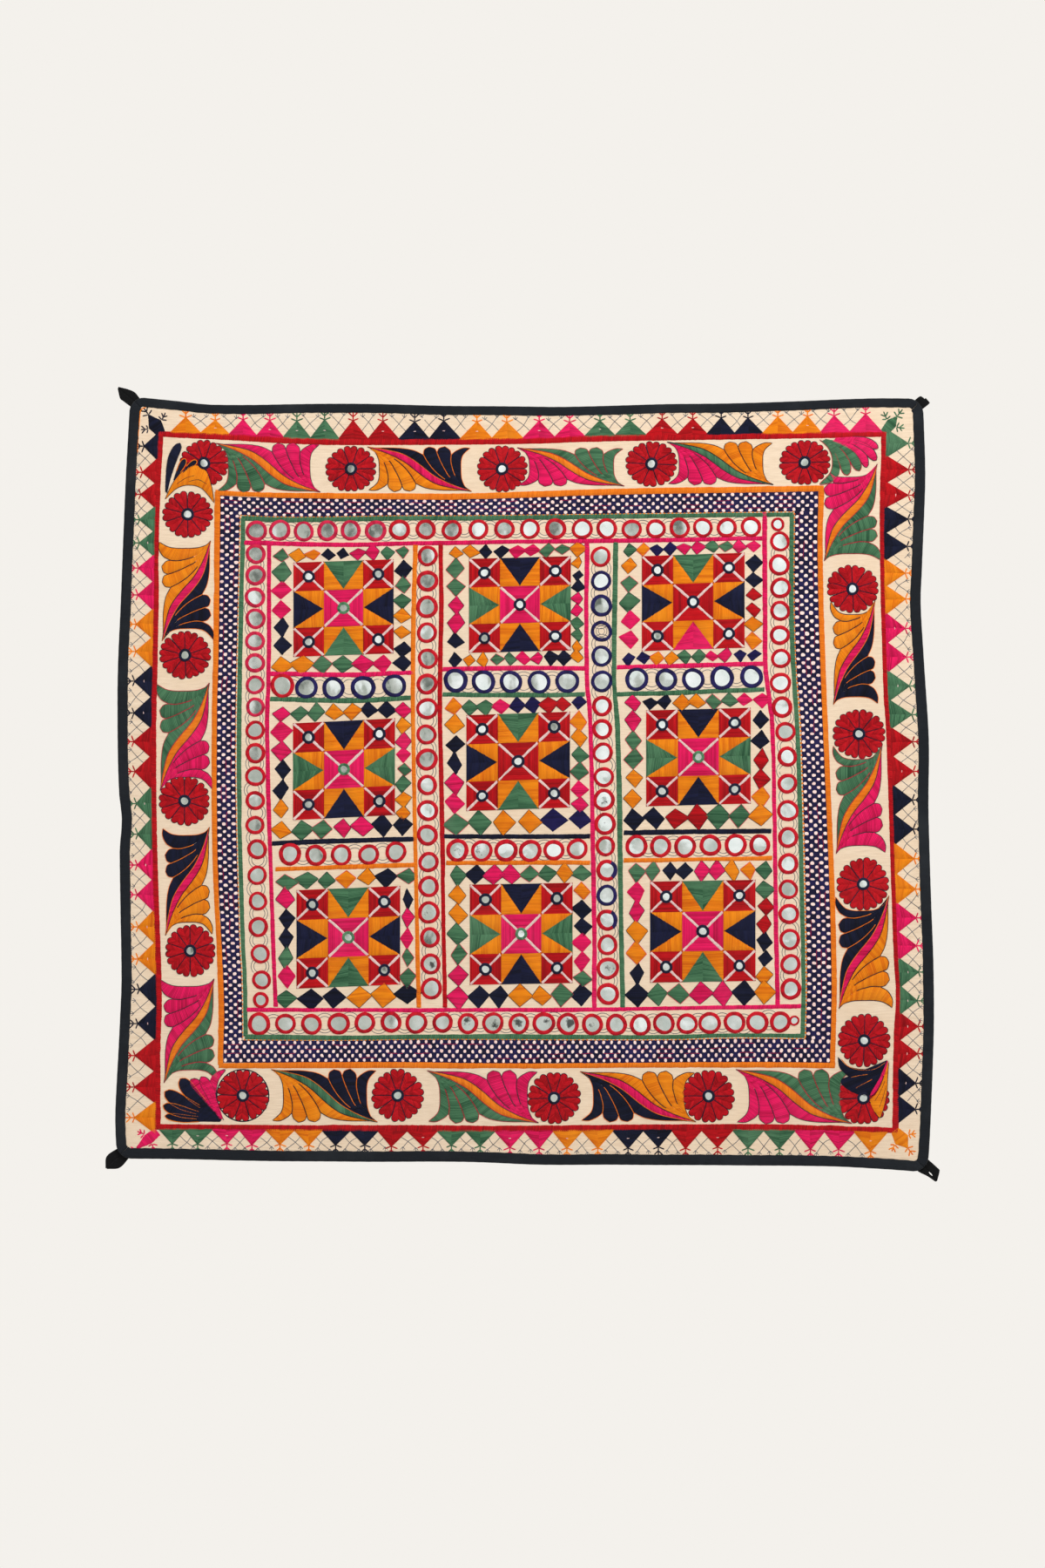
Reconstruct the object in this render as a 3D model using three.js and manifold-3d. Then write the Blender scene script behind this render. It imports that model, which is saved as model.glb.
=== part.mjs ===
// Mirror work wall hanging: a nearly square embroidered cotton cloth, edged with a folded
// black binding, with a loop of folded tape behind each corner.
// Millimetres, +Z up. The origin is the middle of the top edge and the front faces -Y.
import * as THREE from "three";
import { mergeVertices } from "three/addons/utils/BufferGeometryUtils.js";
import Module from "manifold-3d";

const wasm = await Module();
wasm.setup();

// Driving sizes
const SHEET = 2; // embroidered cotton, front face to back face
const PLY = 0.8; // one layer of binding
const GAP = 0.3; // between two sewn pieces
const CORNER_RADIUS = 17; // where the binding turns a corner
const LOOP_THICKNESS = 1.6; // tape folded double
const MIRROR_RISE = 1.5; // of a mirror and its stitched ring above the cloth
const MIRROR_SINK = 0.6; // of their foot into the cloth
const RING_TAPER = 0.8; // radius of a ring's flat top, as a share of its foot
const STAR_RING = 7; // radius of the rings in the stars
const FLOWER_RING = 7.5; // radius of the rings in the flowers
const STAR_CORE = 0.39; // middle square of a star, as a share of its width
const BAND_SIDES = 7; // of a ring in the mirror bands
const SMALL_SIDES = 5; // of a ring in a star or flower
const COLUMNS = 20; // steps across the cloth
const ROWS = 18; // steps down the cloth
const EDGE_STEPS = [0, 6, 13]; // closer steps from each corner, mm

// Places on the cloth are measured right and down from a board corner above its left side.
// This is the middle of the top edge, measured that way.
const BOARD = { x: 600, y: 467 };

// The outer edge, bowed as the cloth hangs. Columns: how far along the edge, where the edge lies there.
// inward is the way to the cloth's middle, right or down being positive, and binding is the width of the
// binding's front and back layer.
const EDGES = {
  top: {
    inward: 1,
    binding: 10.2,
    rows: [[149, 456], [200, 461], [245, 465.5], [400, 464], [520, 466.5], [600, 467],
      [650, 467.5], [760, 464.5], [860, 463], [1000, 458], [1061, 458]],
  },
  right: {
    inward: -1,
    binding: 12,
    rows: [[458, 1059], [492, 1060.6], [554, 1062], [654, 1058.5], [692, 1057.3], [760, 1061],
      [847, 1066.3], [933, 1066], [1035, 1068.8], [1121, 1071.6], [1196, 1071.4], [1299, 1067.6],
      [1345, 1065]],
  },
  bottom: {
    inward: -1,
    binding: 12,
    rows: [[134, 1330], [209, 1330.6], [288, 1332.5], [420, 1333.5], [538, 1333.5], [617, 1336.5],
      [710, 1336.5], [945, 1338], [1000, 1340.5], [1065, 1345]],
  },
  left: {
    inward: 1,
    binding: 11.6,
    rows: [[456, 150], [568, 144], [677, 139.7], [778, 135.7], [857, 135.7], [910, 137], [941, 140],
      [979, 137.7], [1120, 139.7], [1179, 137.7], [1278, 132.7], [1330, 134]],
  },
};

// Soft buckles of the hanging cloth. Columns: middle, reach across and down, rise towards the front.
const BUCKLES = [
  { x: 150, y: 460, across: 120, down: 130, rise: 3 },
  { x: 1060, y: 460, across: 150, down: 170, rise: 4 },
  { x: 130, y: 800, across: 120, down: 160, rise: 3.5 },
  { x: 130, y: 945, across: 80, down: 75, rise: -2.5 },
  { x: 1070, y: 690, across: 120, down: 130, rise: -3 },
  { x: 1080, y: 1130, across: 140, down: 170, rise: 4 },
  { x: 330, y: 1345, across: 180, down: 120, rise: -2.5 },
  { x: 800, y: 1355, across: 220, down: 130, rise: 3 },
  { x: 600, y: 900, across: 340, down: 320, rise: -2 },
];

// Rows of mirrors: places that the row passes at even shares of its mirrors, how many mirrors, and
// the radius of their rings.
const MIRROR_ROWS = [
  { through: [[294, 609], [430.5, 609], [578.5, 607.5], [725.5, 607], [861.5, 605]], count: 21, ring: 12 },
  { through: [[297.5, 1175.5], [508.5, 1174], [708, 1176], [895.5, 1173]], count: 22, ring: 12.6 },
  { through: [[293.5, 635.5], [293, 786.5], [293.5, 946.5], [299.5, 1125]], count: 19, ring: 11.5 },
  {
    through: [[895, 622], [895.5, 701.5], [896, 783.5], [904, 868.5], [904.5, 961], [906.5, 1050],
      [908.5, 1135]],
    count: 19,
    ring: 12,
  },
  { through: [[491, 638.5], [490, 886.5], [495, 1135]], count: 18, ring: 12.5 },
  { through: [[690, 638.5], [691.5, 810], [695.5, 972], [698.5, 1141]], count: 19, ring: 12.4 },
  { through: [[324, 787.5], [383, 790], [453, 787]], count: 5, ring: 14 },
  { through: [[523.5, 781.5], [586, 782.5], [651, 782.5]], count: 5, ring: 14 },
  { through: [[731.5, 780], [796, 780], [863.5, 776]], count: 5, ring: 13.7 },
  { through: [[333.5, 981.5], [392, 981.5], [455.5, 978.5]], count: 5, ring: 12.9 },
  { through: [[525, 976], [595, 977], [663, 975.5]], count: 6, ring: 12.9 },
  { through: [[730.5, 971.5], [801.5, 971.5], [873, 970]], count: 6, ring: 12.7 },
];

// Odd small mirrors that fill the ends of three rows.
const ODD_MIRRORS = [
  { x: 893, y: 602, ring: 8 },
  { x: 912, y: 1171.5, ring: 6 },
  { x: 299.5, y: 1148, ring: 9.5 },
];

// Star blocks: centre, width and height, and how steeply their level edges rise to the right, degrees.
const STARS = [
  { x: 394.5, y: 698, width: 115, height: 108, slope: 2 },
  { x: 597, y: 694, width: 117, height: 108, slope: 1.5 },
  { x: 796, y: 691, width: 118, height: 109, slope: 2 },
  { x: 395, y: 883, width: 117, height: 111, slope: 2.8 },
  { x: 595, y: 874, width: 119, height: 110, slope: 2 },
  { x: 802, y: 869, width: 120, height: 110, slope: 1.5 },
  { x: 400, y: 1076, width: 119, height: 113, slope: 2.3 },
  { x: 598.5, y: 1072, width: 118, height: 115, slope: 1 },
  { x: 807, y: 1069, width: 121, height: 116, slope: 1 },
];

// Flower centres, clockwise from the top left corner.
const FLOWERS = [
  { x: 234.5, y: 532 }, { x: 403, y: 538.3 }, { x: 576.5, y: 538.3 }, { x: 748, y: 532.7 },
  { x: 923.8, y: 531 }, { x: 979, y: 676 }, { x: 986.3, y: 842.5 }, { x: 991, y: 1014.7 },
  { x: 992, y: 1194.3 }, { x: 991.3, y: 1260.3 }, { x: 813.6, y: 1258 }, { x: 636.2, y: 1260.3 },
  { x: 456.7, y: 1257.5 }, { x: 278.8, y: 1257.6 }, { x: 218.5, y: 1091.5 }, { x: 212, y: 919.5 },
  { x: 212.7, y: 752.2 }, { x: 215.7, y: 590.5 },
];

// Corner loops: where the middle of the tape leaves the binding, the way it points (degrees from +X
// to +Z), its outline and the slit between its two legs. Outline columns: along, across.
const LOOPS = {
  loop_top_left: {
    x: 155, y: 462, angle: 138, slit: { along: 13, length: 10, width: 1.2 },
    outline: [[-8, -6.5], [0.5, -7.5], [8.5, -8.5], [17, -5.5], [26, -0.7], [25.5, 1.5], [16, 8],
      [11.5, 8], [0.5, 7], [-8, 6]],
  },
  loop_top_right: {
    x: 1053.5, y: 465.5, angle: 42, slit: { along: 6, length: 6, width: 1 },
    outline: [[-8, -6.5], [1, -7], [12, -7.5], [11, 2.5], [9, 6], [-0.5, 6.5], [-8, 6]],
  },
  loop_bottom_right: {
    x: 1060, y: 1338, angle: -47.5, slit: { along: 10.5, length: 7, width: 1.8 },
    outline: [[-8, -7], [0.5, -9], [13, -4.5], [23, -2.2], [24, -0.3], [17.5, 10], [13.5, 10.5],
      [-1, 9], [-8, 7]],
  },
  loop_bottom_left: {
    x: 141, y: 1324.5, angle: 221, slit: { along: 13, length: 10, width: 1.2 },
    outline: [[-8, -6.5], [1.5, -8.7], [16.5, -10], [26, -1], [25.5, 1.5], [14, 9.8], [-1, 8.4],
      [-8, 6.5]],
  },
};

const groundCotton = new THREE.MeshStandardMaterial({ color: 0xebd8bb, roughness: 0.92, metalness: 0 });
const bindingCotton = new THREE.MeshStandardMaterial({ color: 0x22262b, roughness: 0.9, metalness: 0 });
const loopTape = new THREE.MeshStandardMaterial({ color: 0x141517, roughness: 0.85, metalness: 0 });

// A smooth curve through rows of [place, value], read at a place.
function readCurve(rows, at) {
  let row = 0;
  while (row < rows.length - 2 && at > rows[row + 1][0]) row += 1;
  const slope = (i) => {
    const a = rows[Math.max(i - 1, 0)];
    const b = rows[Math.min(i + 1, rows.length - 1)];
    return (b[1] - a[1]) / (b[0] - a[0]);
  };
  const [start, end] = [rows[row], rows[row + 1]];
  const span = end[0] - start[0];
  const t = (at - start[0]) / span;
  const ease = t * t * (3 - 2 * t);
  return (
    THREE.MathUtils.lerp(start[1], end[1], ease) +
    span * t * (1 - t) * ((1 - t) * slope(row) - t * slope(row + 1))
  );
}

// How far towards the back the hanging cloth stands, at a place in the frame.
function swell(x, z) {
  let depth = 0;
  for (const buckle of BUCKLES) {
    const across = (x + BOARD.x - buckle.x) / buckle.across;
    const down = (BOARD.y - z - buckle.y) / buckle.down;
    depth -= buckle.rise * Math.exp(-across * across - down * down);
  }
  return depth;
}

// How far a rounded corner draws an edge in, at a distance from the square corner.
function roundOff(distance) {
  if (distance >= CORNER_RADIUS) return 0;
  const rest = CORNER_RADIUS - distance;
  return CORNER_RADIUS - Math.sqrt(CORNER_RADIUS * CORNER_RADIUS - rest * rest);
}

// The outer edge of one side, t running from 0 to 1 rightwards or downwards.
function bareEdge(side, t) {
  const { rows, inward } = EDGES[side];
  const [first, last] = [rows[0][0], rows[rows.length - 1][0]];
  const cut = roundOff(CORNER_RADIUS * (1 - Math.SQRT1_2));
  const at = THREE.MathUtils.lerp(first + cut, last - cut, t);
  const lies = readCurve(rows, at) + inward * (roundOff(at - first) + roundOff(last - at));
  const [x, y] = side === "top" || side === "bottom" ? [at, lies] : [lies, at];
  return new THREE.Vector2(x - BOARD.x, BOARD.y - y);
}

// The same edge, with the top and bottom drawn to the ends of the left and right sides.
function edge(side, t) {
  const point = bareEdge(side, t);
  if (side === "left" || side === "right") return point;
  const end = side === "top" ? 0 : 1;
  point.addScaledVector(bareEdge("left", end).sub(bareEdge(side, 0)), 1 - t);
  return point.addScaledVector(bareEdge("right", end).sub(bareEdge(side, 1)), t);
}

// Steps along a side: closer near its corners, even between them.
function station(step, count, length) {
  const near = EDGE_STEPS.length - 1;
  if (step <= near) return EDGE_STEPS[step] / length;
  if (step >= count - near) return 1 - EDGE_STEPS[count - step] / length;
  const inset = EDGE_STEPS[near] / length;
  return inset + ((1 - 2 * inset) * (step - near)) / (count - 2 * near);
}

const stepsAlong = (side) => (side === "top" || side === "bottom" ? COLUMNS : ROWS);
const lengthOf = (side) => edge(side, 0).distanceTo(edge(side, 1));
const stationOn = (side, step) => station(step, stepsAlong(side), lengthOf(side));

// The way into the cloth at a step of a side: square to the edge, and along the diagonal at a corner.
function wayIn(side, step) {
  const middle = edge("top", 0.5).add(edge("bottom", 0.5)).multiplyScalar(0.5);
  const t = stationOn(side, step);
  const towards = middle.sub(edge(side, t));
  if (step === 0 || step === stepsAlong(side)) {
    return new THREE.Vector2(Math.sign(towards.x), Math.sign(towards.y)).normalize();
  }
  const nudge = 1e-4;
  const run = edge(side, t + nudge).sub(edge(side, t - nudge)).normalize();
  const square = new THREE.Vector2(-run.y, run.x);
  return square.dot(towards) < 0 ? square.negate() : square;
}

// A point at a depth inside the outer edge.
function insideEdge(side, step, depth) {
  return edge(side, stationOn(side, step)).addScaledVector(wayIn(side, step), depth);
}

// A geometry with every point moved by place(point), as one closed surface that faces out.
function shaped(geometry, place) {
  const bare = new THREE.BufferGeometry();
  bare.setIndex(geometry.index);
  const points = geometry.getAttribute("position").clone();
  bare.setAttribute("position", points);
  const point = new THREE.Vector3();
  for (let i = 0; i < points.count; i += 1) {
    const moved = place(point.fromBufferAttribute(points, i));
    points.setXYZ(i, moved.x, moved.y, moved.z);
  }
  const merged = mergeVertices(bare, 1e-4);
  const corner = [0, 1, 2].map(() => new THREE.Vector3());
  const index = merged.index.array;
  let volume = 0;
  for (let i = 0; i < index.length; i += 3) {
    corner.forEach((c, k) => c.fromBufferAttribute(merged.getAttribute("position"), index[i + k]));
    volume += corner[0].dot(corner[1].cross(corner[2]));
  }
  if (volume < 0) {
    for (let i = 0; i < index.length; i += 3) [index[i], index[i + 1]] = [index[i + 1], index[i]];
  }
  return merged;
}

function asSolid(geometry) {
  return new wasm.Manifold(
    new wasm.Mesh({
      numProp: 3,
      vertProperties: new Float32Array(geometry.getAttribute("position").array),
      triVerts: new Uint32Array(geometry.index.array),
    }),
  );
}

function asGeometry(solid) {
  const mesh = solid.getMesh();
  const geometry = new THREE.BufferGeometry();
  geometry.setAttribute("position", new THREE.BufferAttribute(mesh.vertProperties, 3));
  geometry.setIndex(new THREE.BufferAttribute(mesh.triVerts, 1));
  geometry.computeVertexNormals();
  return geometry;
}

function named(name, geometry, material) {
  const mesh = new THREE.Mesh(geometry, material);
  mesh.name = name;
  return mesh;
}

// The bare cloth: a sheet stretched between its four edges, just inside the binding's fold.
function clothSheet() {
  const depth = PLY + GAP;
  const at = (side) => Array.from({ length: stepsAlong(side) + 1 }, (_, i) => insideEdge(side, i, depth));
  const [top, bottom, left, right] = ["top", "bottom", "left", "right"].map(at);
  const box = new THREE.BoxGeometry(COLUMNS, SHEET, ROWS, COLUMNS, 1, ROWS);
  return shaped(box, (p) => {
    const [i, j] = [Math.round(p.x + COLUMNS / 2), Math.round(ROWS / 2 - p.z)];
    const u = stationOn("top", i);
    const v = stationOn("left", j);
    const spot = new THREE.Vector2()
      .addScaledVector(top[i], 1 - v)
      .addScaledVector(bottom[i], v)
      .addScaledVector(left[j], 1 - u)
      .addScaledVector(right[j], u)
      .addScaledVector(top[0], -(1 - u) * (1 - v))
      .addScaledVector(top[COLUMNS], -u * (1 - v))
      .addScaledVector(bottom[0], -(1 - u) * v)
      .addScaledVector(bottom[COLUMNS], -u * v);
    return new THREE.Vector3(spot.x, swell(spot.x, spot.y) + p.y, spot.y);
  });
}

// A mirror in its ring: a low round boss with its foot in the cloth.
function mirrorBoss(x, z, ring, sides) {
  const height = MIRROR_RISE + MIRROR_SINK;
  const boss = new THREE.CylinderGeometry(ring, ring * RING_TAPER, height, sides);
  const front = swell(x, z) - SHEET / 2 + MIRROR_SINK;
  return shaped(boss, (p) => new THREE.Vector3(x + p.x, front - height / 2 + p.y, z + p.z));
}

// A smooth row through its places, read at a share of its length in mirrors.
function mirrorRow(through) {
  const places = through.map((place) => new THREE.Vector2(...place));
  const beyond = (end, next) => end.clone().multiplyScalar(2).sub(next);
  const before = beyond(places[0], places[1]);
  const after = beyond(places.at(-1), places.at(-2));
  const curve = new THREE.SplineCurve([before, ...places, after]);
  return (share) => curve.getPoint((1 + share * (places.length - 1)) / (places.length + 1));
}

// Every mirror as x, z, ring radius and number of sides.
function mirrorPlaces() {
  const places = [];
  const put = (x, y, ring, sides) => places.push([x - BOARD.x, BOARD.y - y, ring, sides]);
  for (const { through, count, ring } of MIRROR_ROWS) {
    const row = mirrorRow(through);
    for (let i = 0; i < count; i += 1) {
      const { x, y } = row(i / (count - 1));
      put(x, y, ring, BAND_SIDES);
    }
  }
  for (const { x, y, ring } of ODD_MIRRORS) put(x, y, ring, BAND_SIDES);
  for (const { x, y, width, height, slope } of STARS) {
    put(x, y, STAR_RING, SMALL_SIDES);
    const reach = (1 + STAR_CORE) / 4;
    const rise = Math.tan(THREE.MathUtils.degToRad(slope));
    for (const [right, down] of [[-1, -1], [1, -1], [1, 1], [-1, 1]]) {
      const across = right * reach * width;
      put(x + across, y + down * reach * height - across * rise, STAR_RING, SMALL_SIDES);
    }
  }
  for (const { x, y } of FLOWERS) put(x, y, FLOWER_RING, SMALL_SIDES);
  return places;
}

function panel() {
  const bosses = mirrorPlaces().map((place) => asSolid(mirrorBoss(...place)));
  const solid = wasm.Manifold.union([asSolid(clothSheet()), ...bosses]);
  return named("panel", asGeometry(solid), groundCotton);
}

// One length of binding: a strip folded round the cloth's edge, from corner to corner.
function binding(side) {
  const inner = SHEET / 2 + GAP;
  const outer = inner + PLY;
  const width = EDGES[side].binding;
  const fold = new THREE.Shape(
    [[0, -outer], [width, -outer], [width, -inner], [PLY, -inner], [PLY, inner], [width, inner],
      [width, outer], [0, outer]].map((p) => new THREE.Vector2(...p)),
  );
  const steps = stepsAlong(side);
  const strip = new THREE.ExtrudeGeometry(fold, { depth: steps, steps, bevelEnabled: false });
  const spots = Array.from({ length: steps + 1 }, (_, i) => insideEdge(side, i, 0));
  const ways = spots.map((_, i) => wayIn(side, i));
  const run = spots[steps].clone().sub(spots[0]).normalize();
  spots[0].addScaledVector(run, GAP);
  spots[steps].addScaledVector(run, -GAP);
  const geometry = shaped(strip, (p) => {
    const step = Math.round(p.z);
    const spot = spots[step].clone().addScaledVector(ways[step], p.x);
    return new THREE.Vector3(spot.x, swell(spot.x, spot.y) + p.y, spot.y);
  });
  return named(`binding_${side}`, geometry, bindingCotton);
}

// A corner loop: tape folded to a point, its two legs side by side with a slit between them,
// lying behind the binding.
function loop(name) {
  const { x, y, angle, slit, outline } = LOOPS[name];
  const shape = new THREE.Shape(outline.map((p) => new THREE.Vector2(...p)));
  const [near, far] = [slit.along - slit.length / 2, slit.along + slit.length / 2];
  const gape = new THREE.Path();
  gape.moveTo(near, 0);
  gape.quadraticCurveTo(slit.along, slit.width, far, 0);
  gape.quadraticCurveTo(slit.along, -slit.width, near, 0);
  shape.holes.push(gape);
  const tape = new THREE.ExtrudeGeometry(shape, {
    depth: LOOP_THICKNESS,
    bevelEnabled: false,
    curveSegments: 4,
  });
  const back = SHEET / 2 + 2 * GAP + PLY + LOOP_THICKNESS;
  const turn = THREE.MathUtils.degToRad(angle);
  const geometry = shaped(tape, (p) => {
    const spot = new THREE.Vector2(p.x, p.y).rotateAround(new THREE.Vector2(), turn);
    spot.x += x - BOARD.x;
    spot.y += BOARD.y - y;
    return new THREE.Vector3(spot.x, swell(spot.x, spot.y) + back - p.z, spot.y);
  });
  return named(name, geometry, loopTape);
}

const hanging = new THREE.Group();
hanging.add(panel());
for (const side of Object.keys(EDGES)) hanging.add(binding(side));
for (const name of Object.keys(LOOPS)) hanging.add(loop(name));

export default hanging;
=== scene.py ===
import math

import bmesh
import bpy
import numpy as np
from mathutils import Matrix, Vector


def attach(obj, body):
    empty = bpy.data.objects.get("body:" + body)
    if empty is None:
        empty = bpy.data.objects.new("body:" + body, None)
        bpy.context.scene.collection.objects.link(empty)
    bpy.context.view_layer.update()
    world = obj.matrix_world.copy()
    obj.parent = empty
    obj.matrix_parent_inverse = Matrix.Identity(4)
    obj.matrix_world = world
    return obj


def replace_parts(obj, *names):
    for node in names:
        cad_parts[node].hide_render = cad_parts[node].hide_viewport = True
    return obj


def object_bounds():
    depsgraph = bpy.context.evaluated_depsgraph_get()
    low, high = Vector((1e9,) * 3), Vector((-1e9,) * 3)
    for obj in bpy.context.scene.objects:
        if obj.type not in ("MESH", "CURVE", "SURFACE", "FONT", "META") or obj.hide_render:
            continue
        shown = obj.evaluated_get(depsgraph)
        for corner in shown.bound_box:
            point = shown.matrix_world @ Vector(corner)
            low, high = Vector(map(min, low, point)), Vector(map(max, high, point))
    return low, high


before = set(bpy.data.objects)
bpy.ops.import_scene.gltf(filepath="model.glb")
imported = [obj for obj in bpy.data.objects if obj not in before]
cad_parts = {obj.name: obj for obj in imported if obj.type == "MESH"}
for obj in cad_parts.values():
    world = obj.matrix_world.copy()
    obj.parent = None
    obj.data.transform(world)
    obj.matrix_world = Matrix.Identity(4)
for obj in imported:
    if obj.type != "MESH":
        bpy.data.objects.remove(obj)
cad_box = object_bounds()
chance = np.random.default_rng(7)

# Sizes, mm
BOARD = np.array([600.0, 467.0])
CLOTH_MIDDLE = np.array([600.0, 900.0])
SHEET = 2.0
CLOTH_INSET = 1.1
CLOTH_THICKNESS = 1.6
BINDING_WIDTH = {"top": 10.2, "right": 12.0, "bottom": 12.0, "left": 11.6}
CORNER_RADIUS = 17.0
LOOP_DEPTH = 2.4
LOOP_THICKNESS = 1.6
SLIT_MIDDLE = 13
SLIT_REACH = 3.5
PEN_LIFT = 0.06
STAR_GROUND_LIFT = 0.08
CHECK_GROUND_LIFT = 0.3
MIRROR_LIFT = 0.75
STAR_RING = 7.0
FLOWER_RING = 7.5
FLOWER_HOLE = 4.2
FLOWER_MIRROR = 4.6
FLOWER_REACH = 29.4
LEAF_LENGTH = 123.0
LEAF_WIDTH = 48.0
CELL_GAP = 2.6
DIAMOND_LIMITS = (9.8, 12.5)
BEAD_GAP = 4.6
BEAD_HALF = 1.1
BORDER_FOOT = 1.6
BORDER_OVERLAP = 1.8
KITE_FOOT = 5
KITE_WAIST = 14
# The star's middle square, as a share of the whole block, and which way a square's corners lie.
STAR_CORE = 0.39
SQUARE = [(-1, -1), (1, -1), (1, 1), (-1, 1)]

# How finely the cloth and the bindings are divided.
CLOTH_STEPS = (151, 143)
BINDING_STEPS = 180
# A margin round the pieces' maps, metres.
MAP_MARGIN = 0.01

# The outer edge as the cloth hangs. Columns: how far along the edge, where the edge lies there.
EDGES = {
    "top": [
        (149, 456), (200, 461), (245, 465.5), (400, 464), (520, 466.5), (600, 467), (650, 467.5),
        (760, 464.5), (860, 463), (1000, 458), (1061, 458)],
    "right": [
        (458, 1059), (492, 1060.6), (554, 1062), (654, 1058.5), (692, 1057.3), (760, 1061), (847, 1066.3),
        (933, 1066), (1035, 1068.8), (1121, 1071.6), (1196, 1071.4), (1299, 1067.6), (1345, 1065)],
    "bottom": [
        (134, 1330), (209, 1330.6), (288, 1332.5), (420, 1333.5), (538, 1333.5), (617, 1336.5),
        (710, 1336.5), (945, 1338), (1000, 1340.5), (1065, 1345)],
    "left": [
        (456, 150), (568, 144), (677, 139.7), (778, 135.7), (857, 135.7), (910, 137), (941, 140),
        (979, 137.7), (1120, 139.7), (1179, 137.7), (1278, 132.7), (1330, 134)],
}
INWARD = {"top": 1, "right": -1, "bottom": -1, "left": 1}
LEVEL_SIDES = ("top", "bottom")

# Soft buckles of the cloth. Columns: middle x and y, reach across and down, rise towards the front.
BUCKLES = [
    (150, 460, 120, 130, 3),
    (1060, 460, 150, 170, 4),
    (130, 800, 120, 160, 3.5),
    (130, 945, 80, 75, -2.5),
    (1070, 690, 120, 130, -3),
    (1080, 1130, 140, 170, 4),
    (330, 1345, 180, 120, -2.5),
    (800, 1355, 220, 130, 3),
    (600, 900, 340, 320, -2),
]
# Fine ripples all over it: how many, their height, the shortest, and how much longer the next is.
RIPPLES = (9, 0.1, 24, 6)

# Corner loops. Columns: root x and y, angle from +X to +Z, width of the slit,
# then the outer side of one leg and of the other, from root to tip, as (along, across).
LOOPS = {
    "loop_top_left": (
        155, 462, 138, 0.0,
        [(-8, -6.5), (0.5, -7.5), (8.5, -8.5), (17, -5.5), (26, -0.7)],
        [(-8, 6), (0.5, 7), (11.5, 8), (16, 8), (25.5, 1.5)]),
    "loop_top_right": (
        1053.5, 465.5, 42, 0.0,
        [(-8, -6.5), (1, -7), (12, -7.5), (12, -5)],
        [(-8, 6), (-0.5, 6.5), (9, 6), (11, 2.5)]),
    "loop_bottom_right": (
        1060, 1338, -47.5, 1.8,
        [(-8, -7), (0.5, -9), (13, -4.5), (23, -2.2), (24, -0.3)],
        [(-8, 7), (-1, 9), (13.5, 10.5), (17.5, 10), (24, 0.3)]),
    "loop_bottom_left": (
        141, 1324.5, 221, 0.0,
        [(-8, -6.5), (1.5, -8.7), (16.5, -10), (26, -1)],
        [(-8, 6.5), (-1, 8.4), (14, 9.8), (25.5, 1.5)]),
}

# A folded strip, from the edge of its front layer round the fold to the edge of its back layer, and
# back inside. Columns: depth inside the outer edge where the strip is as wide as FOLD_WIDTH, distance
# towards the back from the cloth's middle.
FOLD_WIDTH = 10
FOLD = [
    (10, -1.3), (9.7, -1.8), (8.6, -2.1), (6.5, -2.05), (4, -2.2), (1.5, -2.15), (0.3, -1.6), (-0.3, 0),
    (0.3, 1.6), (1.5, 2.15), (5, 2.1), (8.6, 2.1), (9.7, 1.8), (10, 1.3), (8, 1.25), (4, 1.25),
    (1.2, 1.15), (0.7, 0), (1.2, -1.15), (4, -1.25), (8, -1.25)]

# Threads. Columns: piece, slot, full dye, colour of painted shade for the hollows between stitches and for
# darker stitches, faded dye.
DYES_AND_SHADES = {
    "R": ("stitches_red", "thread_red", (211, 14, 26), (130, 4, 12), (212, 36, 42)),
    "F": ("flowers_red", "thread_red", (216, 16, 32), (132, 4, 14), (220, 40, 48)),
    "M": ("rings_red", "thread_red", (202, 16, 36), (138, 6, 20), (208, 38, 50)),
    "C": ("rings_crimson", "thread_red", (212, 36, 74), (150, 12, 42), (220, 66, 96)),
    "P": ("stitches_pink", "thread_pink", (255, 27, 106), (180, 8, 60), (255, 62, 124)),
    "O": ("stitches_orange", "thread_orange", (255, 150, 18), (222, 100, 6), (255, 168, 48)),
    "L": ("lines_orange", "thread_orange", (255, 140, 30), (226, 100, 10), (255, 160, 64)),
    "G": ("stitches_green", "thread_green", (86, 136, 98), (32, 74, 50), (120, 158, 124)),
    "N": ("stitches_navy", "thread_navy", (22, 27, 54), (8, 9, 20), (40, 47, 74)),
    "D": ("points_blue", "thread_navy", (24, 28, 62), (10, 11, 28), (41, 47, 80)),
    "B": ("stitches_blue", "thread_blue", (33, 28, 86), (13, 9, 40), (48, 43, 102)),
    "W": ("stitches_cream", "thread_cream", (255, 228, 220), (224, 180, 178), (244, 202, 202)),
    "S": ("stitches_grey", "thread_navy", (66, 60, 72), (32, 30, 40), (92, 84, 96)),
}

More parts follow.
